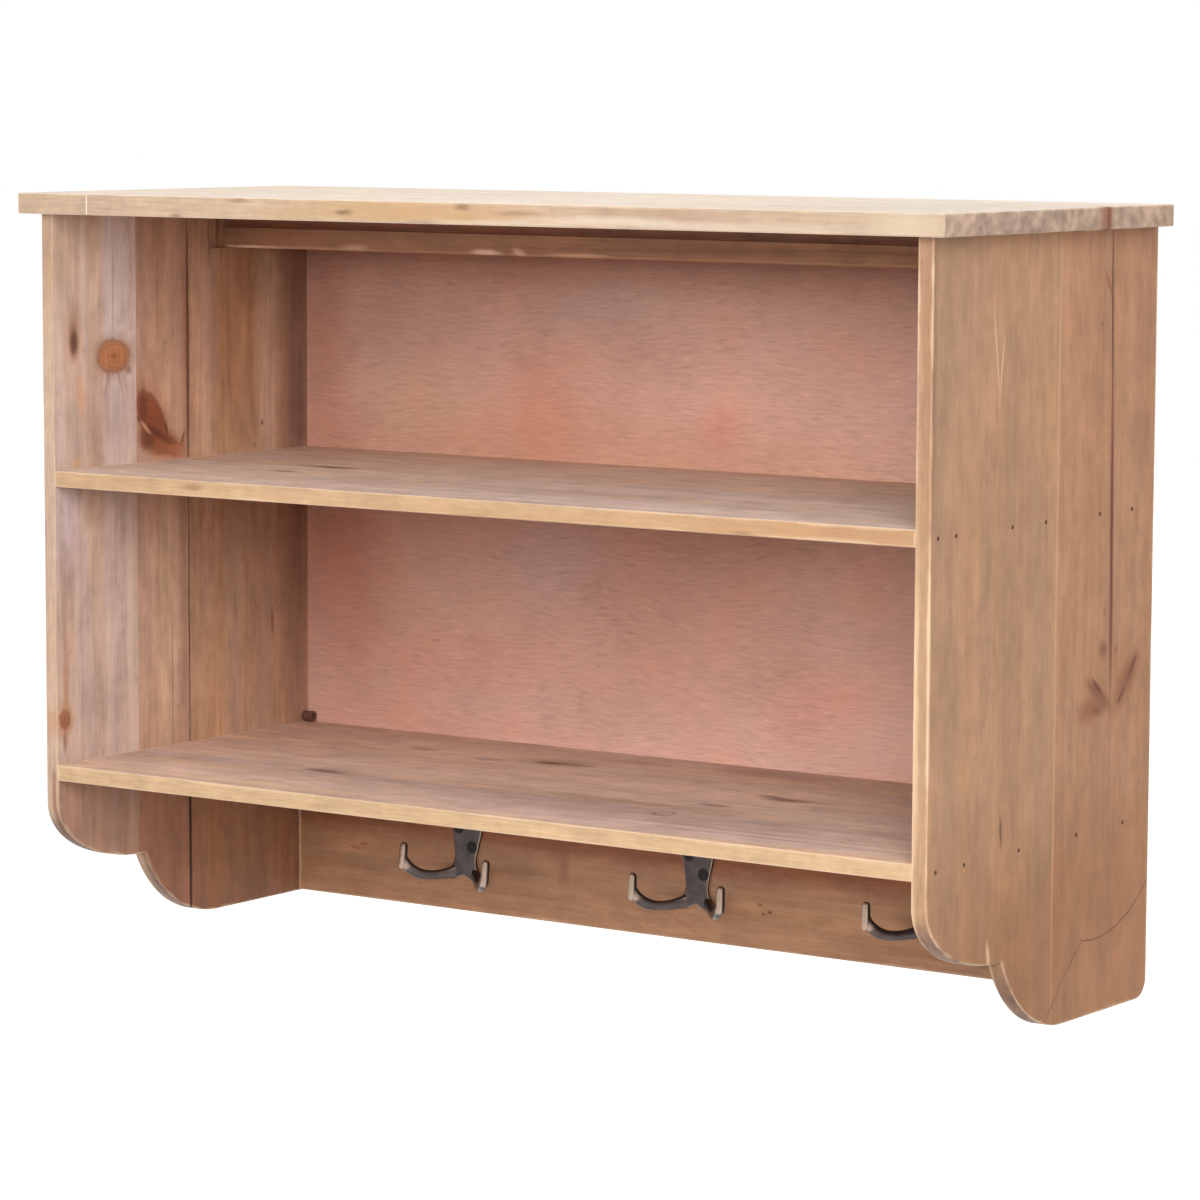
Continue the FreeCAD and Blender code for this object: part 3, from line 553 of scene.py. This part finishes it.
BATTEN_MARKS = (
    ((539.6, -356), (1.3, 30), 0, (232, 196, 168), 0.95, 0.5),
    ((539.8, -296), (1.1, 50), 0, (190, 146, 122), 0.8, 0.6),
    ((541, -256), (2.6, 12), 0, (214, 176, 150), 0.7, 0.9),
    ((539.4, -120), (1.2, 150), 0, (184, 140, 112), 0.7, 0.6),
    ((540.6, -128), (2.2, 12), 0, (236, 200, 172), 0.85, 0.7),
    ((541, -96), (2.8, 6), 20, (230, 190, 160), 0.7, 0.8),
    ((540.2, -40), (1.6, 24), 0, (216, 172, 140), 0.75, 0.7),
    ((539.4, 180), (1.2, 200), 0, (186, 138, 104), 0.7, 0.6),
    ((546, 60), (1.2, 120), 0, (104, 66, 48), 0.45, 0.9),
    ((549, 220), (1.6, 140), 0, (106, 68, 48), 0.45, 0.9),
)
TOP_REAR_MARKS = (
    ((61, 414), (8, 7), 0, (150, 96, 72), 0.6, 0.8),
    ((64, 414), (3, 5), 0, (112, 62, 46), 0.6, 0.8),
)
HOOK_RAIL_MARKS = (
    ((36, 71), (1.3, 1.6), 0, (84, 48, 34), 0.85, 0.6),
    ((31, 80), (1.2, 1.8), 0, (84, 48, 34), 0.8, 0.6),
    ((29, 74), (1.0, 1.4), 0, (90, 54, 38), 0.8, 0.6),
    ((34, 62), (4, 10), 0, (196, 150, 104), 0.5, 0.9),
    ((40, -336), (3, 22), 0, (190, 142, 108), 0.4, 0.9),
    ((34, 180), (3, 60), 0, (186, 140, 106), 0.4, 0.9),
    ((30, -200), (4, 50), 0, (180, 134, 100), 0.35, 0.9),
    ((22, -20), (2, 40), 24, (150, 96, 68), 0.35, 0.9),
    ((46, -116), (14, 5), 0, (126, 76, 52), 0.5, 0.9),
    ((12, 240), (2, 70), 0, (134, 88, 62), 0.4, 0.9),
    ((42, -328), (1.0, 6), 10, (150, 78, 46), 0.7, 0.6),
    ((46, -318), (0.9, 4), -10, (150, 78, 46), 0.7, 0.6),
    ((15, -386.5), (70, 1.0), 0, (206, 172, 138), 0.7, 0.5),
)

# A zone, which multiplies the wood's colour: centre, half sizes, turn, factors, softness of its rim
LEFT_FRONT_ZONES = (
    ((-139, 470), (16, 130), 0, (1.02, 1.04, 1.02), 0.9),
    ((-84, 500), (32, 110), 0, (1.04, 1.1, 1.24), 0.9),
    ((-150, 540), (30, 40), 0, (0.84, 0.78, 0.72), 0.9),
    ((-100, 410), (34, 30), 0, (0.93, 0.92, 0.94), 0.9),
    ((-140, 330), (12, 34), 0, (0.94, 0.94, 1.1), 0.9),
    ((-142, 250), (9, 44), 0, (0.92, 0.84, 0.78), 0.9),
)
LEFT_MIDDLE_ZONES = (
    ((-28, 250), (60, 120), 0, (1.16, 1.28, 1.34), 0.6),
    ((0, 260), (5, 120), 0, (0.82, 0.76, 0.72), 0.9),
)
LEFT_REAR_ZONES = (
    ((24, 462), (11, 78), 0, (1.26, 1.26, 1.32), 0.8),
    ((64, 470), (22, 100), 0, (0.97, 0.85, 0.72), 0.8),
    ((108, 462), (13, 80), 0, (1.2, 1.28, 1.36), 0.8),
    # Painted shade: this dark oval at the rear edge, by the back panel, darkens the corner of the upper bay
    ((148, 490), (20, 130), 0, (0.56, 0.54, 0.64), 0.8),
    ((140, 395), (18, 30), 0, (0.84, 0.8, 0.86), 0.9),
    # Painted shade: the same in the corner of the lower bay
    ((145, 250), (17, 130), 0, (0.74, 0.68, 0.66), 0.8),
    ((50, 250), (50, 100), 0, (1.08, 1.14, 1.2), 0.8),
)
RIGHT_FRONT_ZONES = (
    ((-154, 480), (5, 120), 0, (0.8, 0.74, 0.73), 0.5),
    ((-45, 380), (16, 100), 0, (0.88, 0.9, 0.92), 0.9),
    ((-44, 230), (14, 80), 0, (0.9, 0.9, 0.92), 0.9),
    ((-118, 520), (30, 90), 0, (0.95, 0.99, 1.04), 0.9),
    ((-30, 30), (160, 100), 0, (0.76, 0.66, 0.56), 0.7),
)
RIGHT_REAR_ZONES = (
    ((145, 500), (16, 80), 0, (0.86, 0.84, 0.86), 0.9),
    ((110, 240), (36, 32), 0, (0.97, 0.92, 0.86), 0.9),
    ((80, 108), (120, 46), 0, (0.92, 0.88, 0.82), 0.9),
    ((-30, 30), (190, 110), 0, (0.84, 0.75, 0.64), 0.7),
)
SHELF_ZONES = (
    ((-122, 0), (24, 470), 0, (1.1, 1.13, 1.17), 0.6),
    ((150, 0), (22, 470), 0, (0.9, 0.88, 0.88), 0.9),
    ((20, 150), (110, 240), 0, (0.93, 0.94, 0.95), 0.9),
)
LOWER_SHELF_ZONES = (
    ((-66, 110), (44, 190), 0, (0.8, 0.79, 0.82), 0.9),
    ((-58, -160), (30, 120), 0, (0.94, 0.93, 0.92), 0.9),
    ((120, 240), (50, 160), 0, (0.84, 0.82, 0.8), 0.9),
)
HOOK_RAIL_ZONES = (
    # Painted shade: this first oval darkens the rail's upper part as the lower shelf's shadow, over a redder
    # tone of the wood
    ((84, 0), (28, 700), 0, (0.62, 0.4, 0.3), 0.4),
    ((80, -330), (90, 150), 0, (0.84, 0.82, 0.8), 0.9),
    ((60, -100), (22, 160), 0, (1.06, 1.12, 1.2), 0.9),
    ((30, 150), (20, 120), 0, (1.1, 1.12, 1.12), 0.9),
)
PLYWOOD_ZONES = (
    ((-372, 470), (26, 120), 0, (0.86, 0.76, 0.72), 0.8),
    ((-92, 495), (56, 18), 8, (0.95, 1.06, 1.14), 0.9),
    ((-301, 468), (46, 34), 0, (0.97, 1.06, 1.12), 0.9),
    ((-270, 410), (50, 26), 0, (1.0, 1.08, 1.02), 0.9),
    ((-150, 412), (30, 40), 10, (1.02, 0.88, 0.8), 0.9),
    ((22, 404), (18, 16), 0, (1.0, 0.84, 0.84), 0.9),
    ((330, 440), (130, 110), 0, (1.12, 1.18, 1.22), 0.8),
    ((169, 449), (120, 80), 0, (1.1, 1.13, 1.15), 0.9),
    ((163, 250), (120, 90), 0, (1.1, 1.12, 1.12), 0.9),
    ((-352, 270), (40, 80), 0, (0.92, 0.78, 0.74), 0.9),
    ((-140, 290), (48, 30), 0, (0.97, 1.06, 1.16), 0.9),
    ((-235, 280), (60, 60), 0, (1.06, 1.12, 1.12), 0.9),
    ((-210, 205), (60, 22), 0, (1.04, 0.96, 0.94), 0.9),
    ((110, 190), (40, 24), 20, (1.0, 0.86, 0.84), 0.9),
    ((300, 250), (200, 120), 0, (1.1, 1.15, 1.18), 0.6),
    # Painted shade: these two long strips darken the panel under the battens and under the middle shelf
    ((0, 536), (500, 22), 0, (0.77, 0.7, 0.65), 0.8),
    ((0, 372), (500, 34), 0, (0.87, 0.81, 0.73), 0.9),
    ((60, 330), (120, 24), 0, (0.92, 0.9, 0.86), 0.9),
    ((-120, 176), (300, 30), 0, (0.95, 0.97, 0.99), 0.9),
)


# ---- Boards: what pine() takes for each, apart from its name, seed and box ----
# The sides' end tone is dark partly as painted shade on the downward cut faces of the foot scallops
SIDE_END = (132, 104, 88)
SIDE = {"lie": "upright", "end": SIDE_END, "wear": 0.6}
LEFT_SIDE = {"front": (180, 151, 129), "inner": (0.6, 0.46, 0.38), **SIDE}
RIGHT_SIDE = {"front": (168, 134, 104), "rings": 0.03, "streaks": 0.12, **SIDE}
MIDDLE_SHELF = {"lie": "level", "end": SIDE_END, "front": (178, 145, 111), "marks": MIDDLE_SHELF_MARKS,
                "zones": SHELF_ZONES, "front_marks": MIDDLE_SHELF_EDGE_MARKS}
LOWER_SHELF = {"lie": "level", "end": SIDE_END, "front": (184, 152, 117), "marks": LOWER_SHELF_MARKS,
               "zones": SHELF_ZONES + LOWER_SHELF_ZONES, "knots": (SHELF_KNOT,)}
# The top's zone darkens its right part: painted shade that tones down the key lamp's light there
TOP = {"lie": "level", "end": (188, 160, 140), "front": (179, 154, 131), "rings": 0.03, "streaks": 0.07,
       "dull": 0.7, "specular": 0.1, "zones": (((-60, 350), (160, 170), 0, (0.86, 0.87, 0.88), 0.9),)}
RAIL = {"lie": "facing", "end": (150, 112, 84)}
BOARDS = {
    "left_side_front_board": dict(
        LEFT_SIDE, tones=((192, 167, 152), (182, 160, 152), (184, 152, 126)), pith=(-90, -470),
        knots=(ROUND_KNOT, SMALL_DARK_KNOT, LOW_KNOT), marks=LEFT_FRONT_MARKS, zones=LEFT_FRONT_ZONES),
    "left_side_middle_board": dict(
        LEFT_SIDE, tones=((178, 138, 114), (166, 130, 110), (180, 144, 116)), pith=(-20, -520),
        knots=(SPLIT_KNOT,), marks=LEFT_MIDDLE_MARKS + OPEN_JOINT_MARKS, zones=LEFT_MIDDLE_ZONES),
    "left_side_rear_board": dict(
        LEFT_SIDE, tones=((176, 138, 111), (164, 132, 112), (174, 130, 93)), pith=(80, -500),
        marks=LEFT_REAR_MARKS + OPEN_JOINT_MARKS, zones=LEFT_REAR_ZONES),
    "right_side_front_board": dict(
        RIGHT_SIDE, tones=((172, 131, 100), (161, 126, 99), (176, 134, 99)), pith=(-62, 300), tilt=0.02,
        marks=RIGHT_FRONT_MARKS, front_marks=RIGHT_FRONT_EDGE_MARKS, zones=RIGHT_FRONT_ZONES),
    "right_side_rear_board": dict(
        RIGHT_SIDE, tones=((175, 129, 97), (165, 125, 96), (168, 122, 90)), pith=(100, 396),
        marks=RIGHT_REAR_MARKS, arcs=PENCIL_ARC, zones=RIGHT_REAR_ZONES),
    "top_front_board": dict(
        TOP, tones=((233, 218, 202), (229, 213, 199), (235, 216, 193)), pith=(-70, 500),
        front_marks=TOP_FRONT_MARKS),
    "top_rear_board": dict(
        TOP, tones=((233, 218, 202), (227, 211, 197), (235, 216, 193)), pith=(90, 540), marks=TOP_REAR_MARKS),
    "middle_shelf_front_board": dict(
        MIDDLE_SHELF, tones=((207, 183, 170), (198, 177, 169), (209, 181, 156)), pith=(-70, 300)),
    "middle_shelf_rear_board": dict(
        MIDDLE_SHELF, tones=((203, 174, 157), (194, 169, 158), (205, 170, 142)), pith=(90, 320)),
    "lower_shelf_front_board": dict(
        LOWER_SHELF, tones=((209, 179, 161), (200, 173, 161), (212, 177, 149)), pith=(-70, 90)),
    "lower_shelf_rear_board": dict(
        LOWER_SHELF, tones=((203, 170, 151), (194, 166, 154), (205, 168, 140)), pith=(60, 100)),
    "lower_batten": dict(
        RAIL, tones=((158, 115, 88), (146, 108, 84), (160, 114, 82)), pith=(520, 70), spacing=3.4, rings=0.1,
        wear=0.0, marks=BATTEN_MARKS),
    # Its tones are darker than the lower batten's partly as painted shade under the top
    "upper_batten": dict(
        RAIL, tones=((142, 96, 73), (134, 91, 71), (144, 93, 68)), pith=(550, 110), wear=0.2),
    "hanging_rail": dict(
        RAIL, tones=((178, 136, 106), (168, 130, 104), (182, 134, 98)), pith=(540, 220)),
    "hook_rail": dict(
        RAIL, tones=((174, 130, 98), (164, 122, 92), (178, 130, 94)), pith=(60, 260), rings=0.07,
        marks=HOOK_RAIL_MARKS, zones=HOOK_RAIL_ZONES),
}


def panel_box(name):
    """The box of the panel that a board belongs to; a rail or batten is a panel of its own."""
    names = [name]
    if name.endswith("_board"):
        panel = name.rsplit("_", 2)[0]
        names = [other for other in nodes if other.startswith(panel) and other.endswith("_board")]
    lowest, highest = zip(*[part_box(other) for other in names])
    return [min(values) for values in zip(*lowest)], [max(values) for values in zip(*highest)]


def board_materials():
    """Every board with its own material."""
    materials = {}
    for seed, (name, look) in enumerate(BOARDS.items(), start=1):
        short = name.replace("_side", "").replace("_shelf", "").replace("_board", "")
        materials[name] = pine("pine_" + short, seed=seed, box=panel_box(name), **look)
    return materials


def plywood():
    """Thin reddish plywood with a rotary-cut face: short dashes in curling rows and soft mottling."""
    s = Surface("plywood_back")
    x, _, z = s.parts(s.place)
    face = s.spot(x, z, 0.0)
    curl = s.cloud(s.scaled(9, 1, 13))
    small_curl = s.cloud(s.scaled(34, 1, 50))
    level = s.total(z, s.times(curl, 26 * MM), s.times(small_curl, 2.5 * MM))

    def rows(per_metre_along, per_metre_across, shift, detail=2.0):
        return s.cloud(s.spot(s.times(x, per_metre_along), shift, s.times(level, per_metre_across)), detail)

    fine = rows(52, 560, 0.0, 3.0)
    broad_rows = rows(14, 160, 3.0)
    dark_dashes = s.ease(rows(60, 400, 6.0), 0.54, 0.68)
    pale_dashes = s.ease(rows(54, 380, 9.0), 0.56, 0.7)
    busy = s.ease(s.cloud(s.scaled(7, 1, 7)), 0.3, 0.62, 0.45, 1.0)
    broad = s.cloud(s.scaled(5, 1, 7), 3.0)
    patches = s.cloud(s.vector("ADD", s.scaled(16, 1, 16), (4, 2, 9)), 4.0)
    colour = s.blend(s.ease(broad, 0.3, 0.7), paint(203, 156, 138), paint(210, 167, 151))
    colour = s.blend(s.times(s.ease(patches, 0.5, 0.75), 0.5), colour, paint(202, 146, 124))
    for zone in PLYWOOD_ZONES:
        colour = add_zone(s, face, zone, colour)
    shade = s.total(1.0, s.centred(fine, 0.46), s.centred(broad_rows, 0.12), s.centred(patches, 0.36),
                    s.times(dark_dashes, busy, -0.12), s.times(pale_dashes, busy, 0.1))
    roughness = s.calc("MULTIPLY_ADD", fine, 0.2, 0.5)
    height = s.calc("SUBTRACT", fine, dark_dashes)
    return s.finish(s.shaded(colour, shade), roughness, height, 0.08 * MM, specular=0.3)


# ---- Metal ----
def cast_bronze(name, tips, screws):
    """Dark antique casting with a smooth skin; the fronts of its tips are rubbed lighter, and its edges are
    lighter by wear and a painted highlight.
    """
    s = Surface(name)
    skin = s.cloud(s.scaled(700, 700, 700), 3.0)
    patches = s.cloud(s.scaled(90, 90, 90), 3.0)
    colour = s.blend(s.ease(patches, 0.35, 0.68), paint(58, 48, 46), paint(74, 61, 57))
    # Rubbed wear and painted highlight: the casting's crests, found by pointiness, are made lighter
    crest = s.make("NewGeometry").outputs["Pointiness"]
    rubbed_and_sheen = s.times(s.ease(crest, 0.51, 0.55), 0.75)
    ahead = s.ease(s.fronting(), 0.55, 0.9)
    for place in tips:
        near = s.ease(s.distance(s.place, place), 13.5 * MM, 10 * MM, 0.0, 0.75)
        rubbed_and_sheen = s.calc("MAXIMUM", rubbed_and_sheen, s.times(near, ahead))
    rubbed_and_sheen = s.times(rubbed_and_sheen, s.calc("MULTIPLY_ADD", skin, 0.7, 0.55))
    colour = s.blend(rubbed_and_sheen, colour, paint(184, 158, 138))
    # Painted shade: a dark ring round each screw, as in its countersink
    for place in screws:
        near = s.ease(s.distance(s.place, place), 5.5 * MM, 4.9 * MM)
        colour = s.blend(near, colour, paint(20, 15, 16))
    s.shader.inputs["Coat Weight"].default_value = 0.3
    s.shader.inputs["Coat Roughness"].default_value = 0.2
    roughness = s.calc("MULTIPLY_ADD", skin, 0.2, 0.24)
    return s.finish(colour, roughness, s.total(skin, patches), 0.05 * MM, metallic=0.8)


def blackened_steel(name, tone, metallic, specular=0.5):
    """Dark screw or nail steel, mottled."""
    s = Surface(name)
    mottle = s.cloud(s.scaled(500, 500, 500), 3.0)
    colour = s.blend(s.ease(mottle, 0.35, 0.65), darker(tone, 0.55), tone)
    roughness = s.calc("MULTIPLY_ADD", mottle, 0.3, 0.3)
    return s.finish(colour, roughness, mottle, 0.05 * MM, metallic, specular)


# ---- Pieces ----
EASED_EDGE = 0.5        # how wide the boards' sharp edges are broken


def dress(name, material):
    """Give a carried-over node its material."""
    piece = nodes[name]
    piece.data.materials.clear()
    piece.data.materials.append(material)


def ease_edges(name):
    """Break the sharp edges of a carried-over board a little, as sanding does."""
    piece = nodes[name]
    weld = piece.modifiers.new("weld", "WELD")
    weld.merge_threshold = 0.005 * MM
    bevel = piece.modifiers.new("eased", "BEVEL")
    bevel.width = EASED_EDGE * MM
    bevel.segments = 2
    bevel.limit_method = "ANGLE"
    bevel.angle_limit = math.radians(40)
    bevel.use_clamp_overlap = True
    bevel.harden_normals = False
    flat = piece.modifiers.new("flat", "WEIGHTED_NORMAL")
    flat.keep_sharp = True
    flat.weight = 100


def dress_nodes():
    for name, material in board_materials().items():
        dress(name, material)
        ease_edges(name)
    dress("back_panel", plywood())
    screws = blackened_steel("screw_steel", paint(36, 29, 30), 0.2, 0.2)
    nails = blackened_steel("nail_steel", paint(84, 52, 36), 0.0, 0.1)
    stud = blackened_steel("stud_steel", paint(122, 84, 72), 0.35)
    for name in nodes:
        if name.startswith("hook_screws"):
            dress(name, screws)
        elif "nails" in name or "pins" in name:
            dress(name, nails)
    dress("corner_stud", stud)


# ---- Coat hooks, in millimetres from the notch between the prongs ----
HOOKS = {"left": (-214.4, 4.5), "centre": (12.6, 1.6), "right": (228.0, 0.8)}    # X and tilt in degrees
HOOK_NOTCH = (146.0, 30.5)          # Y of the rail's face and Z of the notch
HOOK_SCREWS = ((6.0, 24.5), (-8.0, 38.5))
PLATE_THICKNESS = 2.7
PLATE_OUTLINE = (                   # right half, sideways and up
    (0, 0.2), (5, -2.4), (9, -4.3), (12.5, -5.1), (15.5, -4.7), (18, -3.0), (18.6, -0.6), (17, 1.6),
    (14.6, 3.6), (12.6, 6.2), (11.2, 9.2), (10.4, 12.5), (10.5, 16), (11.4, 22), (12.8, 29), (14.0, 35.5),
    (14.4, 40), (13.6, 44.5), (11.3, 48.4), (7.6, 51.2), (3.4, 52.3))
ARM_PATH = ((9, -1.7, 0.8), (13, -4.2, 0.0), (18, -9.2, -1.4), (23.5, -14.9, -2.2), (29.6, -20.8, -1.7),
            (34.8, -25.5, 0.9), (38.6, -28.9, 5.4), (40.8, -30.6, 10.6), (41.5, -30.9, 16))
ARM_SIZES = ((5.4, 1.5), (4.7, 2.2), (4.0, 2.5), (3.8, 2.6), (4.1, 2.7), (4.5, 2.8), (4.2, 2.8), (3.4, 2.7),
             (2.6, 2.4))
ARM_SIDE = Vector((0.663, 0.749, 0))
TIP_PATH = tuple((41.5, -30.9, height) for height in (1.5, 2.6, 5, 9, 15, 20, 22.8, 24))
TIP_SIZES = ((0.9, 1.2), (2.0, 2.5), (2.6, 3.1), (2.8, 3.3), (2.8, 3.3), (2.6, 3.2), (2.0, 2.6), (0.8, 1.3))
TIP_SIDE = Vector((1, 0, 0))
TIP_FRONT = (41.5, -33.7, 13)       # where the wear on a tip's front is centred
RING_POINTS = 20
BAR_SQUARENESS = 0.75               # 1 makes a bar's section an oval, less a squarer one
CASTING_GRAIN = 0.42                # cell size of the remesh that joins plate and arms


def smooth_row(row, steps):
    """More points through a row of points, on a smooth curve."""
    row = [Vector(point) for point in row]
    dense = []
    for place in range(len(row) - 1):
        before, start = row[max(place - 1, 0)], row[place]
        end, after = row[place + 1], row[min(place + 2, len(row) - 1)]
        bend = 2 * before - 5 * start + 4 * end - after
        twist = 3 * start - before - 3 * end + after
        for step in range(steps):
            t = step / steps
            dense.append(0.5 * (2 * start + (end - before) * t + bend * t * t + twist * t ** 3))
    return dense + [row[-1]]


def add_bar(form, path, sizes, side):
    """Closed bar of soft oval sections along a path; sizes are its half height and half thickness."""
    path = smooth_row(path, 4)
    sizes = smooth_row([(high, thick, 0) for high, thick in sizes], 4)
    rings = []
    for place, (middle, size) in enumerate(zip(path, sizes)):
        along = (path[min(place + 1, len(path) - 1)] - path[max(place - 1, 0)]).normalized()
        upward = side.cross(along).normalized()
        ring = []
        for step in range(RING_POINTS):
            angle = 2 * math.pi * step / RING_POINTS
            high, thick = [math.copysign(abs(part) ** BAR_SQUARENESS, part)
                           for part in (math.sin(angle), math.cos(angle))]
            ring.append(form.verts.new(middle + upward * (high * size.x) + side * (thick * size.y)))
        rings.append(ring)
    for first, second in zip(rings, rings[1:]):
        for step in range(RING_POINTS):
            after = (step + 1) % RING_POINTS
            form.faces.new((first[step], first[after], second[after], second[step]))
    form.faces.new(rings[0][::-1])
    form.faces.new(rings[-1])


def add_plate(form):
    outline = [Vector((across, 0, height)) for across, height in PLATE_OUTLINE]
    outline += [Vector((-spot.x, 0, spot.z)) for spot in outline[:0:-1]]
    outline = smooth_row(outline + outline[:1], 3)[:-1]
    rear = [form.verts.new(spot) for spot in outline]
    front = [form.verts.new(spot - Vector((0, PLATE_THICKNESS, 0))) for spot in outline]
    for place in range(len(outline)):
        after = (place + 1) % len(outline)
        form.faces.new((rear[place], rear[after], front[after], front[place]))
    form.faces.new(rear[::-1])
    form.faces.new(front)


def mirrored(row):
    return [(-point[0], point[1], point[2]) for point in row]


def hook_mesh(name, place):
    """A plate that flows into two arms, which bend up into flattened tips."""
    form = bmesh.new()
    add_plate(form)
    add_bar(form, ARM_PATH, ARM_SIZES, ARM_SIDE)
    add_bar(form, mirrored(ARM_PATH), ARM_SIZES, Vector((-ARM_SIDE.x, ARM_SIDE.y, 0)))
    add_bar(form, TIP_PATH, TIP_SIZES, TIP_SIDE)
    add_bar(form, mirrored(TIP_PATH), TIP_SIZES, TIP_SIDE)
    form.transform(place)
    bmesh.ops.recalc_face_normals(form, faces=form.faces)
    mesh = bpy.data.meshes.new(name)
    form.to_mesh(mesh)
    form.free()
    return mesh


def make_hooks():
    """The three castings, which stand in for the plainer coat hooks of the frame."""
    for name, (across, tilt) in HOOKS.items():
        place = Matrix.Diagonal((MM, MM, MM, 1)) @ Matrix.Translation((across, *HOOK_NOTCH))
        place = place @ Matrix.Rotation(math.radians(tilt), 4, "Y")
        mesh = hook_mesh("hook_casting_" + name, place)
        piece = add_object("hook_casting_" + name, mesh)
        remesh = piece.modifiers.new("cast", "REMESH")
        remesh.mode = "VOXEL"
        remesh.voxel_size = CASTING_GRAIN * MM
        remesh.use_smooth_shade = True
        soften = piece.modifiers.new("soften", "SMOOTH")
        soften.factor = 0.5
        soften.iterations = 5
        tips = [place @ Vector(point) for point in (TIP_FRONT, *mirrored([TIP_FRONT]))]
        screws = [place @ Vector((sideways, -PLATE_THICKNESS, height)) for sideways, height in HOOK_SCREWS]
        mesh.materials.append(cast_bronze("bronze_" + name, tips, screws))
        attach(piece, "root")
        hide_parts("coat_hook_" + name)


# ---- Stage, light and camera ----
FLOOR_DROP = 0.9        # the rack hangs; the floor lies this far under it
FLOOR_SIZE = 14.0
SURROUNDING_LIGHT = 0.17
LAMP_AIM = (0.0, 0.0, 0.3)
LAMPS = (               # name, place, width and height, and watts
    ("key", (1.9, -2.55, 1.6), (1.9, 2.1), 150.0),
    ("fill", (-1.9, -2.6, 1.3), (1.8, 1.8), 30.0),
    ("overhead", (0.0, -0.2, 2.6), (2.4, 1.8), 10.0),
    ("rear", (0.3, 2.6, 2.0), (2.4, 1.8), 50.0),
    ("left", (-3.0, 0.4, 1.1), (1.8, 1.8), 30.0),
)
CAMERA_PLACE = (1.994, -2.829, 0.67406)
CAMERA_YAW = -0.6093        # radians, to the left of straight ahead
CAMERA_PITCH = 0.1124       # radians, downward
CAMERA_ROLL = 0.0038
CAMERA_LENS = 138.26        # millimetres on a 36 mm sensor


def add_object(name, data):
    thing = bpy.data.objects.new(name, data)
    bpy.context.scene.collection.objects.link(thing)
    return thing


def background_rays(tree):
    """1 for the rays that show the background: the camera's own, in a reflection or through glass."""
    rays = tree.nodes.new("ShaderNodeLightPath").outputs
    share = rays["Is Camera Ray"]
    for kind in ("Is Glossy Ray", "Is Transmission Ray"):
        larger = tree.nodes.new("ShaderNodeMath")
        larger.operation = "MAXIMUM"
        tree.links.new(share, larger.inputs[0])
        tree.links.new(rays[kind], larger.inputs[1])
        share = larger.outputs[0]
    return share


def pale_floor_material():
    """White floor that keeps a soft shadow and shows as the white background to the camera."""
    s = Surface("floor")
    away = s.vector("LENGTH", s.vector("MULTIPLY", s.place, (1.0, 1.0, 0.0)))
    glow = s.times(background_rays(s.tree), s.ease(away, 0.4, 2.4, 0.5, 1.0))
    s.put(s.shader.inputs["Base Color"], paint(232, 230, 228))
    s.put(s.shader.inputs["Roughness"], 0.9)
    s.put(s.shader.inputs["Emission Color"], (1.0, 1.0, 1.0, 1.0))
    s.put(s.shader.inputs["Emission Strength"], glow)
    return s.material


def make_floor():
    mesh = bpy.data.meshes.new("floor")
    form = bmesh.new()
    bmesh.ops.create_grid(form, x_segments=8, y_segments=8, size=FLOOR_SIZE)
    form.to_mesh(mesh)
    form.free()
    floor = add_object("floor", mesh)
    floor.location = (0, 0, -FLOOR_DROP)
    mesh.materials.append(pale_floor_material())


def make_world():
    """Even pale surroundings; white where the camera or a reflection sees them."""
    world = bpy.data.worlds.new("studio")
    bpy.context.scene.world = world
    world.use_nodes = True
    tree = world.node_tree
    tree.nodes.clear()
    output = tree.nodes.new("ShaderNodeOutputWorld")
    mix = tree.nodes.new("ShaderNodeMixShader")
    for socket, strength in ((mix.inputs[1], SURROUNDING_LIGHT), (mix.inputs[2], 1.0)):
        light = tree.nodes.new("ShaderNodeBackground")
        light.inputs["Color"].default_value = (1.0, 1.0, 1.0, 1.0)
        light.inputs["Strength"].default_value = strength
        tree.links.new(light.outputs[0], socket)
    tree.links.new(background_rays(tree), mix.inputs[0])
    tree.links.new(mix.outputs[0], output.inputs["Surface"])


def make_lights():
    for name, place, size, power in LAMPS:
        data = bpy.data.lights.new(name, "AREA")
        data.shape = "RECTANGLE"
        data.size, data.size_y = size
        data.energy = power
        lamp = add_object(name, data)
        lamp.location = place
        lamp.rotation_mode = "QUATERNION"
        lamp.rotation_quaternion = (Vector(LAMP_AIM) - Vector(place)).to_track_quat("-Z", "Y")


def make_camera():
    forward = Vector((math.sin(CAMERA_YAW) * math.cos(CAMERA_PITCH),
                      math.cos(CAMERA_YAW) * math.cos(CAMERA_PITCH), -math.sin(CAMERA_PITCH)))
    level = Vector((math.cos(CAMERA_YAW), -math.sin(CAMERA_YAW), 0))
    upward = level.cross(forward)
    right = level * math.cos(CAMERA_ROLL) + upward * math.sin(CAMERA_ROLL)
    up = upward * math.cos(CAMERA_ROLL) - level * math.sin(CAMERA_ROLL)
    data = bpy.data.cameras.new("camera")
    data.lens = CAMERA_LENS
    data.sensor_width = 36.0
    data.clip_end = 100.0
    camera = add_object("camera", data)
    turned = Matrix((right, up, -forward)).transposed().to_4x4()
    camera.matrix_world = Matrix.Translation(CAMERA_PLACE) @ turned
    bpy.context.scene.camera = camera


make_camera()
make_world()
make_lights()
make_floor()
dress_nodes()
make_hooks()
bpy.context.scene.view_settings.view_transform = "Standard"
